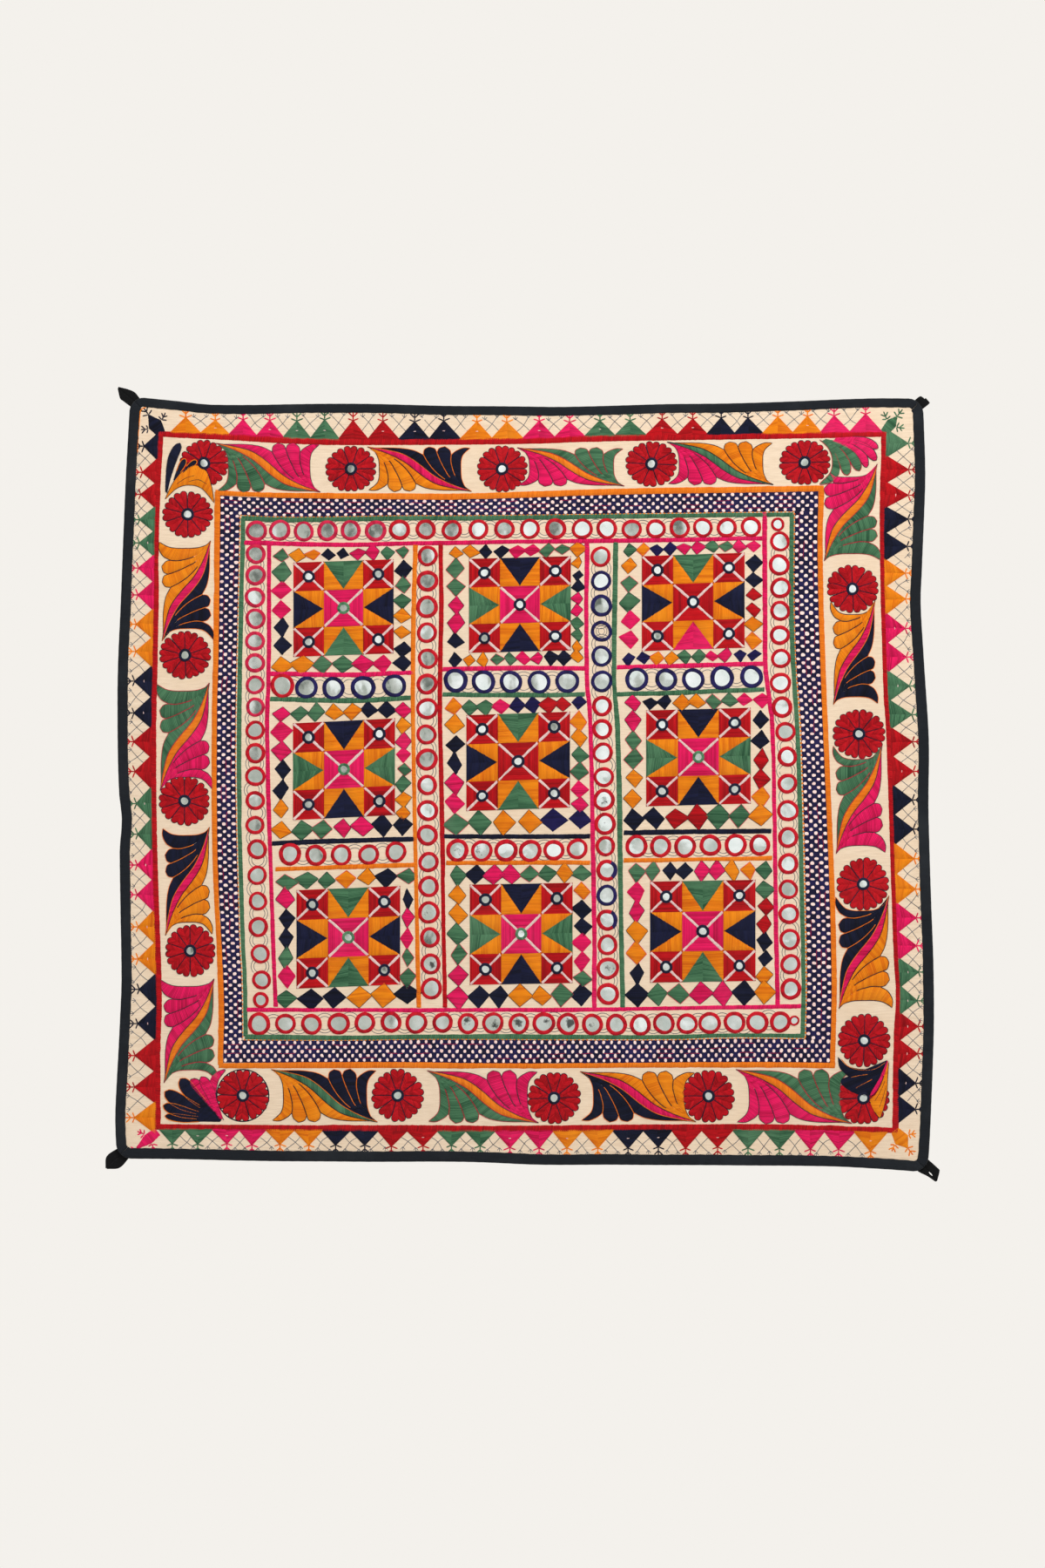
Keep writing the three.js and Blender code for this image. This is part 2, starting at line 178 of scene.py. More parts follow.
# Stitched lines that are long enough to bend. Columns: thread, width, points along the line.
FRAMES = {
    "red_top": ("R", 6.6, [
        (182, 498.5), (260, 501.5), (340, 506), (420, 507.3), (600, 506), (700, 503), (1018, 498.5)]),
    "red_right": ("R", 6.6, [
        (1015, 498), (1013, 620), (1017, 780), (1021, 860), (1028, 1080), (1031, 1140), (1029, 1200),
        (1028, 1297)]),
    "red_bottom": ("R", 6.6, [(178, 1293.5), (540, 1295.5), (860, 1294), (1031, 1297.5)]),
    "red_left": ("R", 6.4, [
        (185, 498), (181, 580), (179, 680), (176, 920), (182, 1130), (181, 1200), (181, 1293)]),
    "orange_top": ("L", 6.4, [(247, 565.5), (300, 568), (460, 570), (540, 570), (720, 564.4), (946, 561)]),
    "orange_right": ("L", 6.2, [(943, 560), (942, 640), (946, 780), (955, 1000), (958, 1130), (956, 1223)]),
    "orange_bottom": ("L", 6.2, [(251, 1223), (460, 1222.5), (580, 1223.8), (840, 1222.4), (959, 1223)]),
    "orange_left": ("L", 6.4, [(250, 565), (248, 740), (246, 820), (246.5, 980), (254, 1140), (253, 1223)]),
    "green_top": ("G", 5.2, [(277, 595), (340, 597), (460, 595.3), (560, 595), (911, 590.8)]),
    "green_right": ("G", 5.2, [
        (909, 590), (908.5, 680), (910.5, 760), (917, 860), (922.5, 1100), (921.5, 1190)]),
    "green_bottom": ("G", 5.2, [
        (281, 1190.5), (400, 1191), (500, 1189.8), (740, 1190.5), (840, 1188.5), (924, 1189)]),
    "green_left": ("G", 5.2, [(279, 595), (274, 860), (278, 1060), (281, 1120), (282, 1190)]),
    "upright_1": ("P", 5.2, [(309, 623), (308.5, 770), (307, 840), (311, 1000), (316.5, 1156)]),
    "upright_2": ("L", 5.2, [(477, 625), (474.5, 830), (481, 1157)]),
    "upright_3": ("R", 5.2, [(506, 623), (506.3, 700), (504.6, 800), (506, 880), (511, 1157)]),
    "upright_4": ("P", 5.2, [(674, 623), (673.4, 770), (678, 840), (682, 1060), (682.5, 1157)]),
    "upright_5": ("G", 5.2, [(707, 622), (705, 770), (709, 830), (711, 900), (715, 1157)]),
    "upright_6": ("P", 5.2, [(878, 588), (878, 680), (879, 760), (884.5, 810), (888, 860), (893, 1156)]),
    "level_1": ("P", 5.0, [(280, 623), (400, 625), (500, 623), (878, 618)]),
    "level_4": ("P", 5.0, [(283, 1159), (480, 1159.5), (700, 1158.5), (920, 1155)]),
}

# Short level lines between the mirror columns. Columns: thread, width, then the three lengths.
LEVELS = {
    "level_2a": (
        "P", 5.0, [(310, 773.5), (400, 775), (475, 772.3)], [(508, 768.4), (600, 767.2), (672, 767.5)],
        [(708, 766.3), (800, 764), (877, 762)]),
    "level_2b": (
        "G", 5.0, [(310, 802.5), (400, 804.3), (472, 801.2)], [(508, 797), (600, 797.8), (672, 797)],
        [(708, 797), (800, 794.5), (878, 791.5)]),
    "level_3a": (
        "N", 5.2, [(312, 968.5), (400, 965), (477, 963.5)], [(508, 960), (600, 960.7), (678, 960)],
        [(716, 956), (800, 955), (886, 954.2)]),
    "level_3b": (
        "L", 5.0, [(316, 998), (400, 995.5), (477, 993)], [(512, 990.5), (600, 990), (678, 990.5)],
        [(716, 987.5), (800, 986.5), (887, 985)]),
}

# The check band between the orange and the green frame. Columns: one long edge and the other, each a
# stitched line and the gap to it, first and last place along them, length of a cell, cells across,
# 1 where the first cell is dark.
CHECK_SIDES = [
    ("orange_top", 3.2, "green_top", -3.6, 253, 939.5, 5.05, 5, 0),
    ("green_bottom", 3.6, "orange_bottom", -3.2, 256.5, 953, 4.45, 5, 0),
    ("orange_left", 3.2, "green_left", -3.6, 590.5, 1195, 4.4, 4, 1),
    ("green_right", 3.6, "orange_right", -3.2, 586.5, 1193.5, 4.8, 5, 1),
]
# Its cells, by thread. Columns: size, how far the corners reach, lift of the edge, least and greatest tone.
CHECK_PADS = {"W": (0.84, 0.76, 0.46, 0.45, 1.0), "B": (1.1, 0.96, 0.36, 0.05, 0.55)}
# Beads inside the green frame. Columns: stitched line, distance beside it, width of a bead.
BEADS = [
    ("green_top", -3.4, 1.6),
    ("green_bottom", 3.4, 1.6),
    ("green_left", 3.4, 1.6),
    ("green_right", -3.4, 2.6),
]

# Rows of mirrors. Columns: places passed at even shares of the row, ring radius, threads of the rings.
# H is a ring of two threads.
MIRROR_ROWS = [
    ([(294, 609), (430.5, 609), (578.5, 607.5), (725.5, 607), (861.5, 605)], 12, "C" * 6 + "M" * 15),
    ([(297.5, 1175.5), (508.5, 1174), (708, 1176), (895.5, 1173)], 12.6, "M" * 22),
    ([(293.5, 635.5), (293, 786.5), (293.5, 946.5), (299.5, 1125)], 11.5, "C" * 8 + "M" * 11),
    ([(895, 622), (895.5, 701.5), (896, 783.5), (904, 868.5), (904.5, 961), (906.5, 1050), (908.5, 1135)],
     12, "M" * 19),
    ([(491, 638.5), (490, 886.5), (495, 1135)], 12.5, "M" * 18),
    ([(690, 638.5), (691.5, 810), (695.5, 972), (698.5, 1141)], 12.4, "MBBBBBMMMMMMMHBHMMM"),
    ([(324, 787.5), (383, 790), (453, 787)], 14, "MBBBB"),
    ([(523.5, 781.5), (586, 782.5), (651, 782.5)], 14, "BBBBB"),
    ([(731.5, 780), (796, 780), (863.5, 776)], 13.7, "BBBBB"),
    ([(333.5, 981.5), (392, 981.5), (455.5, 978.5)], 12.9, "MMMMM"),
    ([(525, 976), (595, 977), (663, 975.5)], 12.9, "MMMMMM"),
    ([(730.5, 971.5), (801.5, 971.5), (873, 970)], 12.7, "MMMMMM"),
]
# Odd small mirrors at the ends of three rows. Columns: x, y, ring radius.
ODD_MIRRORS = [(893, 602, 8), (912, 1171.5, 6), (299.5, 1148, 9.5)]
# Where the threads of a two-thread ring change, radians.
SPLIT_RING = (0.9, 5.2, 7.2)
# Rings further apart than so many radii have pen circles between them, as large as these shares of a ring.
RINGS_APART = 1.98
PEN_CIRCLES = (0.9, 0.62)
# The ring that has lost its mirror, and the pen circles in it. Columns: radius, sides.
EMPTY_RING = (691, 728)
EMPTY_CIRCLES = [(6.2, 22), (3.6, 18)]
# How near a mirror has to lie to one of these places.
EMPTY_REACH = 12
TARNISH_REACH = 15
# Where the silvering has gone. Columns: x, y, size of the blot.
TARNISH = [
    (508, 1175, 0.5), (537, 1175, 0.75), (566, 1175, 0.7), (594, 1175, 0.85), (623, 1175, 0.6),
    (652, 1175, 0.9), (680, 1175, 0.5), (494, 1045, 0.35), (495, 1104, 0.75), (697, 917, 0.6),
    (699, 1112, 0.6), (523, 976, 0.55), (552, 976, 0.6), (697, 945, 0.35), (290, 890, 0.4)]

# Star blocks. Columns: centre, width, height, turn, threads of the top, bottom and side points, of the
# middle and its ring, then the diamonds above and below, corners included, and those at the left and right.
STARS = [
    (394.5, 698, 115, 108, 2.0, "GGDPG", "GOONNPPGG", "OOGGPPN", "GPPNN", "NGGOON"),
    (597, 694, 117, 108, 1.5, "DDGPN", "OONNPPGGO", "NOOGGPPNNO", "GGPPN", "ONNPPGGO"),
    (796, 691, 118, 109, 2.0, "GPDRN", "GOBBPPGGPP", "BBOOGGPPBB", "OGGPP", "NNRROO"),
    (395, 883, 117, 111, 2.8, "DDGPG", "PGGOONNP", "OGGPPNN", "PPNNO", "OPPGGOO"),
    (595, 874, 119, 110, 2.0, "GGDRN", "OGGPBBRRB", "GGOOBB", "ONNPP", "OOGGPP"),
    (802, 869, 120, 110, 1.5, "DDGPG", "PNNOOGGPP", "NNRRGGO", "PGGOO", "NNRRO"),
    (400, 1076, 119, 113, 2.3, "GGDPG", "GGGOONG", "GNNOON", "PNNGP", "NPPGG"),
    (598.5, 1072, 118, 115, 1.0, "DDGPG", "GNPPGGOG", "PNNOOGN", "OOGGP", "ONNPPG"),
    (807, 1069, 121, 116, 1.0, "GGDPN", "GGNNPPOOG", "NGGPPNO", "PPOON", "GRRNNO"),
]
# The lines round each star block: left and right by column, upper and lower by row.
CELL_UPRIGHTS = [("upright_1", "upright_2"), ("upright_3", "upright_4"), ("upright_5", "upright_6")]
CELL_LEVELS = [("level_1", "level_2a"), ("level_2b", "level_3a"), ("level_3b", "level_4")]

# Flowers, clockwise from the top left corner. Columns: centre, half width and half height.
FLOWERS = [
    (234.5, 532, 28, 26.3), (403, 538.3, 29, 26.5), (576.5, 538.3, 29, 26.5),
    (748, 532.7, 29.4, 26.2), (923.8, 531, 29.2, 26), (979, 676, 29.8, 27.5),
    (986.3, 842.5, 29.9, 28.5), (991, 1014.7, 29.8, 30), (992, 1194.3, 29.8, 30.4),
    (991.3, 1260.3, 29.8, 30.3), (813.6, 1258, 30, 30), (636.2, 1260.3, 30.4, 29.9),
    (456.7, 1257.5, 30.2, 29.8), (278.8, 1257.6, 30, 29.9), (218.5, 1091.5, 29, 29.7),
    (212, 919.5, 29.3, 28.4), (212.7, 752.2, 29.5, 27.6), (215.7, 590.5, 28.9, 26.7),
]
# The flower with a line round it, the line's radius, and the upper and lower level past which flowers are
# turned by half a petal.
RIMMED_FLOWER = (278.8, 1257.6)
RIM_RADIUS = 29.8
TURNED_FLOWERS = (560, 1230)
# Half a petal's outline. Columns: distance from the flower's middle, angle from the petal's seam.
PETAL_LOBE = [(7.0, 17.5), (15, 17.6), (23.2, 17.4), (27.6, 15.8), (29.4, 10.4), (28.9, 4.6), (26.3, 0)]
PETAL_SEAM = np.array([7.0, 16, 26.3])
PETAL_GAP = np.array([7.0, 15, 23.5])
PETALS = 10

# Leaves. Columns: depths of the hollows at the first and the second end, then the leaves. A leaf's columns:
# where the ribbon starts and ends, threads of the first half, the ribbon and the second half, reach of the
# first horn.
LEAVES = {
    "level": ((0.85, 0.75), [
        ((248.5, 509), (368, 565), "GLP", 1), ((422, 513), (541.5, 564), "OPN", 1),
        ((594, 514), (717, 558), "PLG", 1), ((766, 507.5), (888, 556.5), "PGO", 1),
        ((311.5, 1227.5), (433.5, 1288), "OGN", 1), ((490.5, 1229), (618.5, 1289), "GLP", 1),
        ((666, 1230), (799, 1287.5), "NPO", 1), ((845, 1227.5), (978, 1289.5), "PLG", 1)]),
    "right": ((1.0, 0.56), [
        ((1007, 533), (946.5, 644), "PLG", 0.3), ((1005, 689.5), (957, 809), "OPN", 1),
        ((1013, 855), (960, 980), "GLP", 1), ((1020.5, 1028), (963, 1158), "NPO", 1)]),
    "left": ((0.56, 0.92), [
        ((242, 621), (186.5, 736), "OPN", 1), ((240.5, 784), (184, 907.5), "GLP", 1),
        ((240.5, 949.5), (190, 1074), "NPO", 1), ((246, 1123.5), (188.5, 1243), "PLG", 1)]),
}
# A leaf half, seen with its flower at the left. Points are right and down from the leaf's middle.
LEAF_TIP = (-61.5, -24)
LEAF_HOLLOW = [LEAF_TIP, (-54.5, -21), (-50.5, -18), (-46, -10), (-45, 1.5), (-45.5, 11.5), (-49, 19)]
LEAF_HORN = [(-60, 27), (-51.5, 27.3), (-42.5, 23), (-37.5, 15.5)]
# Where a horn with no reach ends, and how low the horns of level leaves hang.
LEAF_STUB = np.array((-47, 16))
LEVEL_FLARE = 0.84
LEAF_LINES = [
    [LEAF_TIP, (-50, -16), (-42, -7), (-38.5, 2), (-37, 9), (-37.5, 15.5)],
    [LEAF_TIP, (-48, -16.5), (-36, -9), (-29, 1), (-24, 10), (-20.5, 18)],
    [LEAF_TIP, (-46, -17.5), (-30, -11), (-18, -2), (-10, 7), (-4.5, 15.5)],
]
LEAF_FINGERS = [
    ([(-37.5, 15.5), (-36, 20.5), (-30, 24.5)], [(-20.5, 18), (-23, 22.5), (-30, 24.5)]),
    ([(-20.5, 18), (-18, 22.3), (-11, 24)], [(-4.5, 15.5), (-5.5, 21), (-11, 24)]),
]
LEAF_TAIL = [(-4.5, 15.5), (8, 20.5), (26, 22.8), (52, 23)]
LEAF_RIBBON = [
    LEAF_TIP, (-43, -18.5), (-30, -13.5), (-16, -6.5), (0, 5), (12, 12.5), (24, 17.5), (44, 21.5),
    (61.5, 24)]
# The edging of a half, by its thread. Columns: thread, width.
LEAF_EDGING = {"N": ("L", 0.75), "O": ("N", 1.05), "P": ("S", 0.95), "G": ("C", 0.85)}

# Half leaves that fill the corners, and a short line inside the binding at the top left one.
# Patches. Columns: thread, points of one side, points of the other, rise, base.
CORNER_PATCHES = [
    ("O", [(190, 573), (198, 556), (210, 541), (224, 534), (237, 541), (243, 558), (246, 577)],
     [(190, 573), (203, 561), (217, 557), (232, 561), (246, 577)], 0.9, 0.5),
    ("G", [(941, 505), (951, 515), (955.5, 528), (953, 543), (941, 556)],
     [(941, 505), (957, 513), (964, 527), (963, 545), (954, 554), (941, 556)], 0.8, 0.0),
    ("N",
     [(962, 1213), (964, 1225), (972, 1234), (979, 1236), (967, 1238), (966, 1244), (977, 1253),
      (991, 1258)],
     [(962, 1213), (972, 1223), (988, 1227), (1004, 1226), (1018, 1217), (1012, 1232), (1003, 1248),
      (998, 1258)], 0.9, 0.6),
    ("O", [(1020, 1218), (1013, 1240), (1006, 1255), (999, 1263), (1004, 1276), (1010, 1283)],
     [(1020, 1218), (1019, 1237), (1018, 1255), (1014, 1273), (1010, 1283)], 0.9, 0.6),
    ("P", [(259, 1228), (251, 1240), (248, 1257), (250, 1272), (257, 1286)],
     [(259, 1228), (246, 1232), (240, 1246), (243, 1266), (257, 1286)], 0.8, 0.15),
]
# Fingers. Columns: thread, points of the spine, width, thread of the edge, base.
CORNER_FINGERS = [
    ("N", [(191, 566), (194, 545), (199, 525), (207, 509)], 10, "S", 0.4),
    ("N", [(200, 552), (205, 542), (213, 527)], 7, "O", 0.4),
    ("N", [(210, 543), (217, 536), (226, 529)], 6, "O", 0.6),
    ("G", [(944, 506), (960, 516), (969, 530), (973, 546)], 12, "C", 0.05),
    ("G", [(946, 505), (966, 512), (979, 525), (987, 541)], 11, "C", 0.1),
    ("P", [(956, 506), (978, 514), (990, 524), (995, 537)], 9, "S", 0.15),
    ("P", [(958, 505), (982, 509), (996, 517), (1006, 529)], 10, "S", 0.2),
    ("P", [(958, 504), (980, 504.5), (996, 508), (1008, 515)], 9, "S", 0.25),
    ("P", [(1019, 1217), (1013, 1234), (1006, 1248), (999, 1258)], 5, "N", 0.85),
    ("P", [(254, 1285), (243, 1268), (232, 1252), (219, 1239)], 13, "S", 0.0),
    ("P", [(255, 1285), (246, 1266), (240, 1251), (231, 1236)], 12, "S", 0.1),
    ("N", [(254, 1285), (236, 1270), (220, 1255), (207, 1238)], 16, "O", 0.0),
    ("N", [(254, 1286), (230, 1275), (208, 1265), (189, 1253)], 16, "O", 0.05),
    ("N", [(254, 1286.5), (230, 1281), (208, 1276), (187, 1269)], 13, "O", 0.1),
    ("N", [(254, 1287), (232, 1285), (210, 1284), (189, 1281)], 9, "O", 0.0),
]
# Thin lines. Columns: thread, points, width, base.
CORNER_LINES = [
    ("N", CORNER_PATCHES[0][1], 0.9, 0.9),
    ("N", CORNER_PATCHES[0][2], 0.9, 0.6),
    ("N", [(203, 556), (214, 549), (224, 546)], 0.8, 1.3),
    ("N", [(217, 553), (228, 551), (238, 556)], 0.8, 1.3),
    ("C", [*CORNER_PATCHES[1][1], (954, 554), (963, 545)], 0.85, 0.4),
    ("O", [(966, 1216), (974, 1224), (988, 1228), (1004, 1227), (1017, 1219)], 0.8, 1.2),
    ("O", [(977, 1236.5), (986, 1234.5), (997, 1233)], 0.8, 1.3),
    ("O", [(982, 1249), (991, 1244), (1001, 1239)], 0.8, 1.3),
    ("N", [(1020, 1220), (1019, 1237), (1018, 1255), (1014, 1273), (1010, 1283), (1004, 1276)], 0.85, 0.9),
    ("N", [(1016, 1240), (1011, 1252), (1004, 1264)], 0.8, 1.3),
    ("N", [(1017, 1246), (1014, 1258), (1009, 1272)], 0.8, 1.3),
    ("S", [*CORNER_PATCHES[4][1][::-1], (247, 1232), (241, 1242)], 0.85, 0.5),
    ("O", [(168, 467.5), (162, 471.5), (160.5, 482), (159, 500), (158, 520)], 1.5, 0.3),
]

# Border triangles. Columns: which way is out, how much of the way to the binding they take,
# where the row of tips lies at even shares of its length, threads of the tips.
TRIANGLES = {
    "top": ((0, -1), 0.78, [215, 398, 600, 802, 992], "OOPPGGRRNNOOPPGGRRNNOOPP"),
    "right": ((1, 0), 0.81, [508, 689, 886, 1084, 1273], "GRRNNOOPPGGRRNNOOPPGGRRNN"),
    "bottom": ((0, 1), 0.78, [196, 386, 584, 789, 999], "GGPPOONNRRGGPPOONNRRGGPPO"),
    "left": ((-1, 0), 0.76, [514, 675, 870, 1073, 1284], "NRRGGPPOONNRRGGPPOONNRRO"),
}
# Stitches of the crow's foot at a tip. Columns: how far out it starts, lean, length.
SPROUT = [(0, -1.2, 6), (0, 1.2, 6), (0, 0, 7), (3.4, -0.8, 6), (3.4, 0.8, 6), (3.6, 0, 5.5)]
# Kites outside the corners of the red frame. Columns: corner of the frame, the tip, half width, thread.
CORNER_KITES = [
    ((186, 499), (170.5, 476), 8.5, "N"), ((1015, 497), (1030, 478), 6.2, "G"),
    ((1027, 1297), (1042.5, 1318), 9.0, "O"), ((181, 1299), (155, 1320), 6.4, "P")]


def pairs(x, y):
    """Spots, or places on a stitch, from their two columns."""
    return np.stack(np.broadcast_arrays(x, y), axis=-1)


def square_to(way):
    """The direction a quarter turn from another."""
    return pairs(-way[..., 1], way[..., 0])


def read_curve(rows, at):
    """A smooth curve through rows of (place, value), read at places."""
    place_of, value = np.array(rows, float).T
    slope = np.gradient(value, place_of)
    slope[1:-1] = (value[2:] - value[:-2]) / (place_of[2:] - place_of[:-2])
    row = np.clip(np.searchsorted(place_of, at) - 1, 0, len(rows) - 2)
    width = place_of[row + 1] - place_of[row]
    t = (at - place_of[row]) / width
    ease = t * t * (3 - 2 * t)
    bow = width * t * (1 - t) * ((1 - t) * slope[row] - t * slope[row + 1])
    return value[row] + (value[row + 1] - value[row]) * ease + bow


def swell(spots):
    """How far towards the back the hanging cloth stands at spots on the board, mm."""
    x, y = spots[..., 0], spots[..., 1]
    depth = np.zeros(x.shape)
    for middle_x, middle_y, across, down, rise in BUCKLES:
        depth -= rise * np.exp(-(((x - middle_x) / across) ** 2) - ((y - middle_y) / down) ** 2)
    count, height, shortest, longer = RIPPLES
    for number in range(count):
        way = 2.4 * number
        wave = 2 * math.pi / (shortest + longer * number)
        depth += height * np.sin(wave * (x * math.cos(way) + y * math.sin(way)) + 1.7 * number)
    return depth


def place(spots, lift):
    """Points in the frame, metres, for spots that stand lift millimetres in front of the cloth."""
    points = np.empty(spots.shape[:-1] + (3,))
    points[..., 0] = spots[..., 0] - BOARD[0]
    points[..., 1] = swell(spots) - SHEET / 2 - lift
    points[..., 2] = BOARD[1] - spots[..., 1]
    return points / 1000


def round_off(distance):
    """How far a rounded corner draws an edge in, at distances from the square corner."""
    rest = np.clip(CORNER_RADIUS - distance, 0, CORNER_RADIUS)
    return CORNER_RADIUS - np.sqrt(CORNER_RADIUS**2 - rest**2)


def bare_edge(side, t):
    """The outer edge of one side with its rounded ends, before these are moved to meet the next sides."""
    rows = EDGES[side]
    first, last = rows[0][0], rows[-1][0]
    cut = float(round_off(CORNER_RADIUS * (1 - math.sqrt(0.5))))
    at = first + cut + (last - first - 2 * cut) * np.asarray(t, float)
    lies = read_curve(rows, at) + INWARD[side] * (round_off(at - first) + round_off(last - at))
    return pairs(at, lies) if side in LEVEL_SIDES else pairs(lies, at)


def outer_edge(side, t):
    """The outer edge of one side, t running from 0 to 1 rightwards or downwards."""
    spots = bare_edge(side, t)
    if side not in LEVEL_SIDES:
        return spots
    end = 0.0 if side == "top" else 1.0
    share = np.asarray(t, float)[..., None]
    spots = spots + (bare_edge("left", end) - bare_edge(side, 0.0)) * (1 - share)
    return spots + (bare_edge("right", end) - bare_edge(side, 1.0)) * share


def inside_edge(side, t, depth):
    """Spots at a depth inside the outer edge, square to it."""
    run = outer_edge(side, t + 1e-3) - outer_edge(side, t - 1e-3)
    run /= np.linalg.norm(run, axis=-1, keepdims=True)
    square = square_to(run)
    inward = CLOTH_MIDDLE - outer_edge(side, t)
    square = square * np.sign((square * inward).sum(axis=-1, keepdims=True))
    return outer_edge(side, t) + square * depth


def path_length(path):
    return float(np.linalg.norm(np.diff(path, axis=0), axis=1).sum())


def walk(path, steps):
    """Spots along a path, each step a share of its length."""
    run = np.concatenate([[0.0], np.cumsum(np.linalg.norm(np.diff(path, axis=0), axis=1))])
    at = np.asarray(steps, float) * run[-1]
    return pairs(np.interp(at, run, path[:, 0]), np.interp(at, run, path[:, 1]))


def bend(points, between=8):
    """A rounded path through a few points."""
    points = np.asarray(points, float)
    ends = np.vstack([2 * points[0] - points[1], points, 2 * points[-1] - points[-2]])
    t = (np.arange(between) / between)[:, None]
    path = []
    for a, b, c, d in zip(ends, ends[1:], ends[2:], ends[3:]):
        curve = 2 * b + (c - a) * t + (2 * a - 5 * b + 4 * c - d) * t**2 + (3 * b - a - 3 * c + d) * t**3
        path.append(0.5 * curve)
    return np.vstack(path + [points[-1:]])


def beside(path, reach):
    """The path moved sideways by reach, which may change along it."""
    run = np.gradient(path, axis=0)
    run /= np.maximum(np.linalg.norm(run, axis=1, keepdims=True), 1e-9)
    return path + square_to(run) * np.broadcast_to(reach, len(path))[:, None]


def circle(middle, radius, sides):
    angle = np.linspace(0, 2 * math.pi, sides + 1)
    return np.asarray(middle, float) + radius * pairs(np.cos(angle), np.sin(angle))


class Spool:
    """Stitches of one thread, gathered to be joined into one piece."""

    def __init__(self):
        self.spots, self.lift, self.run, self.tone, self.quads = [], [], [], [], []
        self.count = 0

    def lay(self, spots, lift, run, tone):
        """Adds a grid of spots, with their lift above the cloth, their places along and across the stitch,
        and their tone."""
        rows, columns = lift.shape
        corner = np.arange(rows * columns).reshape(rows, columns) + self.count
        quads = np.stack([corner[:-1, :-1], corner[1:, :-1], corner[1:, 1:], corner[:-1, 1:]], axis=-1)
        down, right = spots[1:, :-1] - spots[:-1, :-1], spots[:-1, 1:] - spots[:-1, :-1]
        if (down[..., 0] * right[..., 1] - down[..., 1] * right[..., 0]).sum() > 0:
            quads = quads[..., ::-1]
        self.spots.append(spots.reshape(-1, 2))
        self.lift.append(lift.ravel())
        self.run.append(run.reshape(-1, 2))
        self.tone.append(np.broadcast_to(tone, lift.shape).ravel())
        self.quads.append(quads.reshape(-1, 4))
        self.count += rows * columns


spools = {letter: Spool() for letter in DYES_AND_SHADES}
pen = Spool()
glass = Spool()


def satin(
        letter, side_a, side_b, pitch=1.65, rise=0.8, ragged=0.5, slant=0.0, base=0.0, spill=0.35,
        patchy=0.2):
    """Close stitches from one side to the other, which they pass by spill to meet the next patch. Rows of
    spots lie by turns in a dip and on the stitch beside it."""
    side_a, side_b = np.asarray(side_a, float), np.asarray(side_b, float)
    reach = max(path_length(side_a), path_length(side_b))
    rows = 2 * max(2, round(reach / pitch)) + 1
    steps = np.linspace(0, 1, rows)
    start = walk(side_a, np.clip(steps + slant, 0, 1))
    end = walk(side_b, np.clip(steps - slant, 0, 1))
    span = np.maximum(np.linalg.norm(end - start, axis=1), 0.05)
    ridge = np.arange(rows) % 2 == 1
    uneven = np.where(ridge, chance.uniform(-0.5, 0.5, (2, rows)), 0.15)
    loose = (uneven * np.reshape(ragged, (-1, 1)) - spill) / np.maximum(span, 2.5)
    turn_in = np.minimum(0.9 / span, 0.28)
    shares = [0 * span, turn_in, 0 * span + 0.5, 1 - turn_in, 0 * span + 1]
    crown = np.array([0, 0.85, 1, 0.85, 0])
    if span.max() <= 6:
        shares.pop(2)
        crown = np.array([0, 1, 1, 0])
    shares = loose[0][:, None] + np.stack(shares, axis=1) * (1 - loose[0] - loose[1])[:, None]
    spots = start[:, None] + (end - start)[:, None] * shares[..., None]
    height = np.where(ridge, chance.uniform(0.9, 1.08, rows), 0.62)[:, None] * crown
    dip = np.interp(span, [2, 6], [-0.2, 0.25])
    lift = base + rise * height - dip[:, None] * (crown == 0)
    offset = chance.uniform(0, 300, rows)
    run = pairs(shares * span[:, None] + offset[:, None], (steps * reach)[:, None])
    # Ridge stitches take a random tone, and each band of five a shared lighter or darker tone, partly
    # painted sheen; dips take a low tone, painted shade in the hollows between stitches.
    sheen_bands = np.repeat(chance.uniform(-patchy, patchy, rows // 5 + 1), 5)[:rows]
    tone = np.where(ridge, chance.uniform(0.35, 1.0, rows), 0.3) + sheen_bands + chance.uniform(-0.06, 0.06)
    spools[letter].lay(spots, lift, run, tone[:, None])


def line(letter, path, width, pitch=1.75, rise=0.95, base=0.0):
    """A thick stitched line along a path, its stitches lying across it."""
    count = max(3, round(path_length(path) / 3))
    path = walk(path, np.linspace(0, 1, count))
    wander = np.cumsum(chance.normal(0, 0.12, (2, count)), axis=1)
    wander -= np.linspace(0, 1, count) * wander[:, -1:]
    wander = np.clip(wander, -0.5, 0.5) + chance.normal(0, 0.1, (2, count))
    sides = beside(path, -width / 2 + wander[0]), beside(path, width / 2 + wander[1])
    slant = 0.6 / max(path_length(path), 1)
    satin(letter, *sides, pitch, rise, 0.4, slant, base, patchy=0.08)


def cord(letter, path, half, crown, edge, width, tone):
    """A rounded thread along a path, with the lift of its crown and of its two edges."""
    sides = np.array([-1, 0, 1])
    spots = np.stack([beside(path, side * half) for side in sides], axis=1)
    lift = np.stack([0 * crown + edge, crown, 0 * crown + edge], axis=1)
    along = np.linspace(0, path_length(path), len(path))
    spools[letter].lay(spots, lift, pairs(along[:, None], sides * width / 2), tone)


def outline(letter, path, width=0.95, base=0.75, pitch=1.5):
    """A thin line of back stitches along a path."""
    rows = max(3, round(path_length(path) / pitch))
    path = walk(path, np.linspace(0, 1, rows))
    bump = np.where(np.arange(rows) % 2 == 0, 0.25, 0.5) + chance.uniform(-0.08, 0.08, rows)
    bump[[0, -1]] = -0.2
    half = width / 2 * chance.uniform(0.85, 1.15, rows)
    # A low tone paints the back stitches towards the shade colour: painted shade, which darkens them.
    cord(letter, path, half, base + bump, base - 0.35, width, chance.uniform(0.1, 0.6, rows)[:, None])


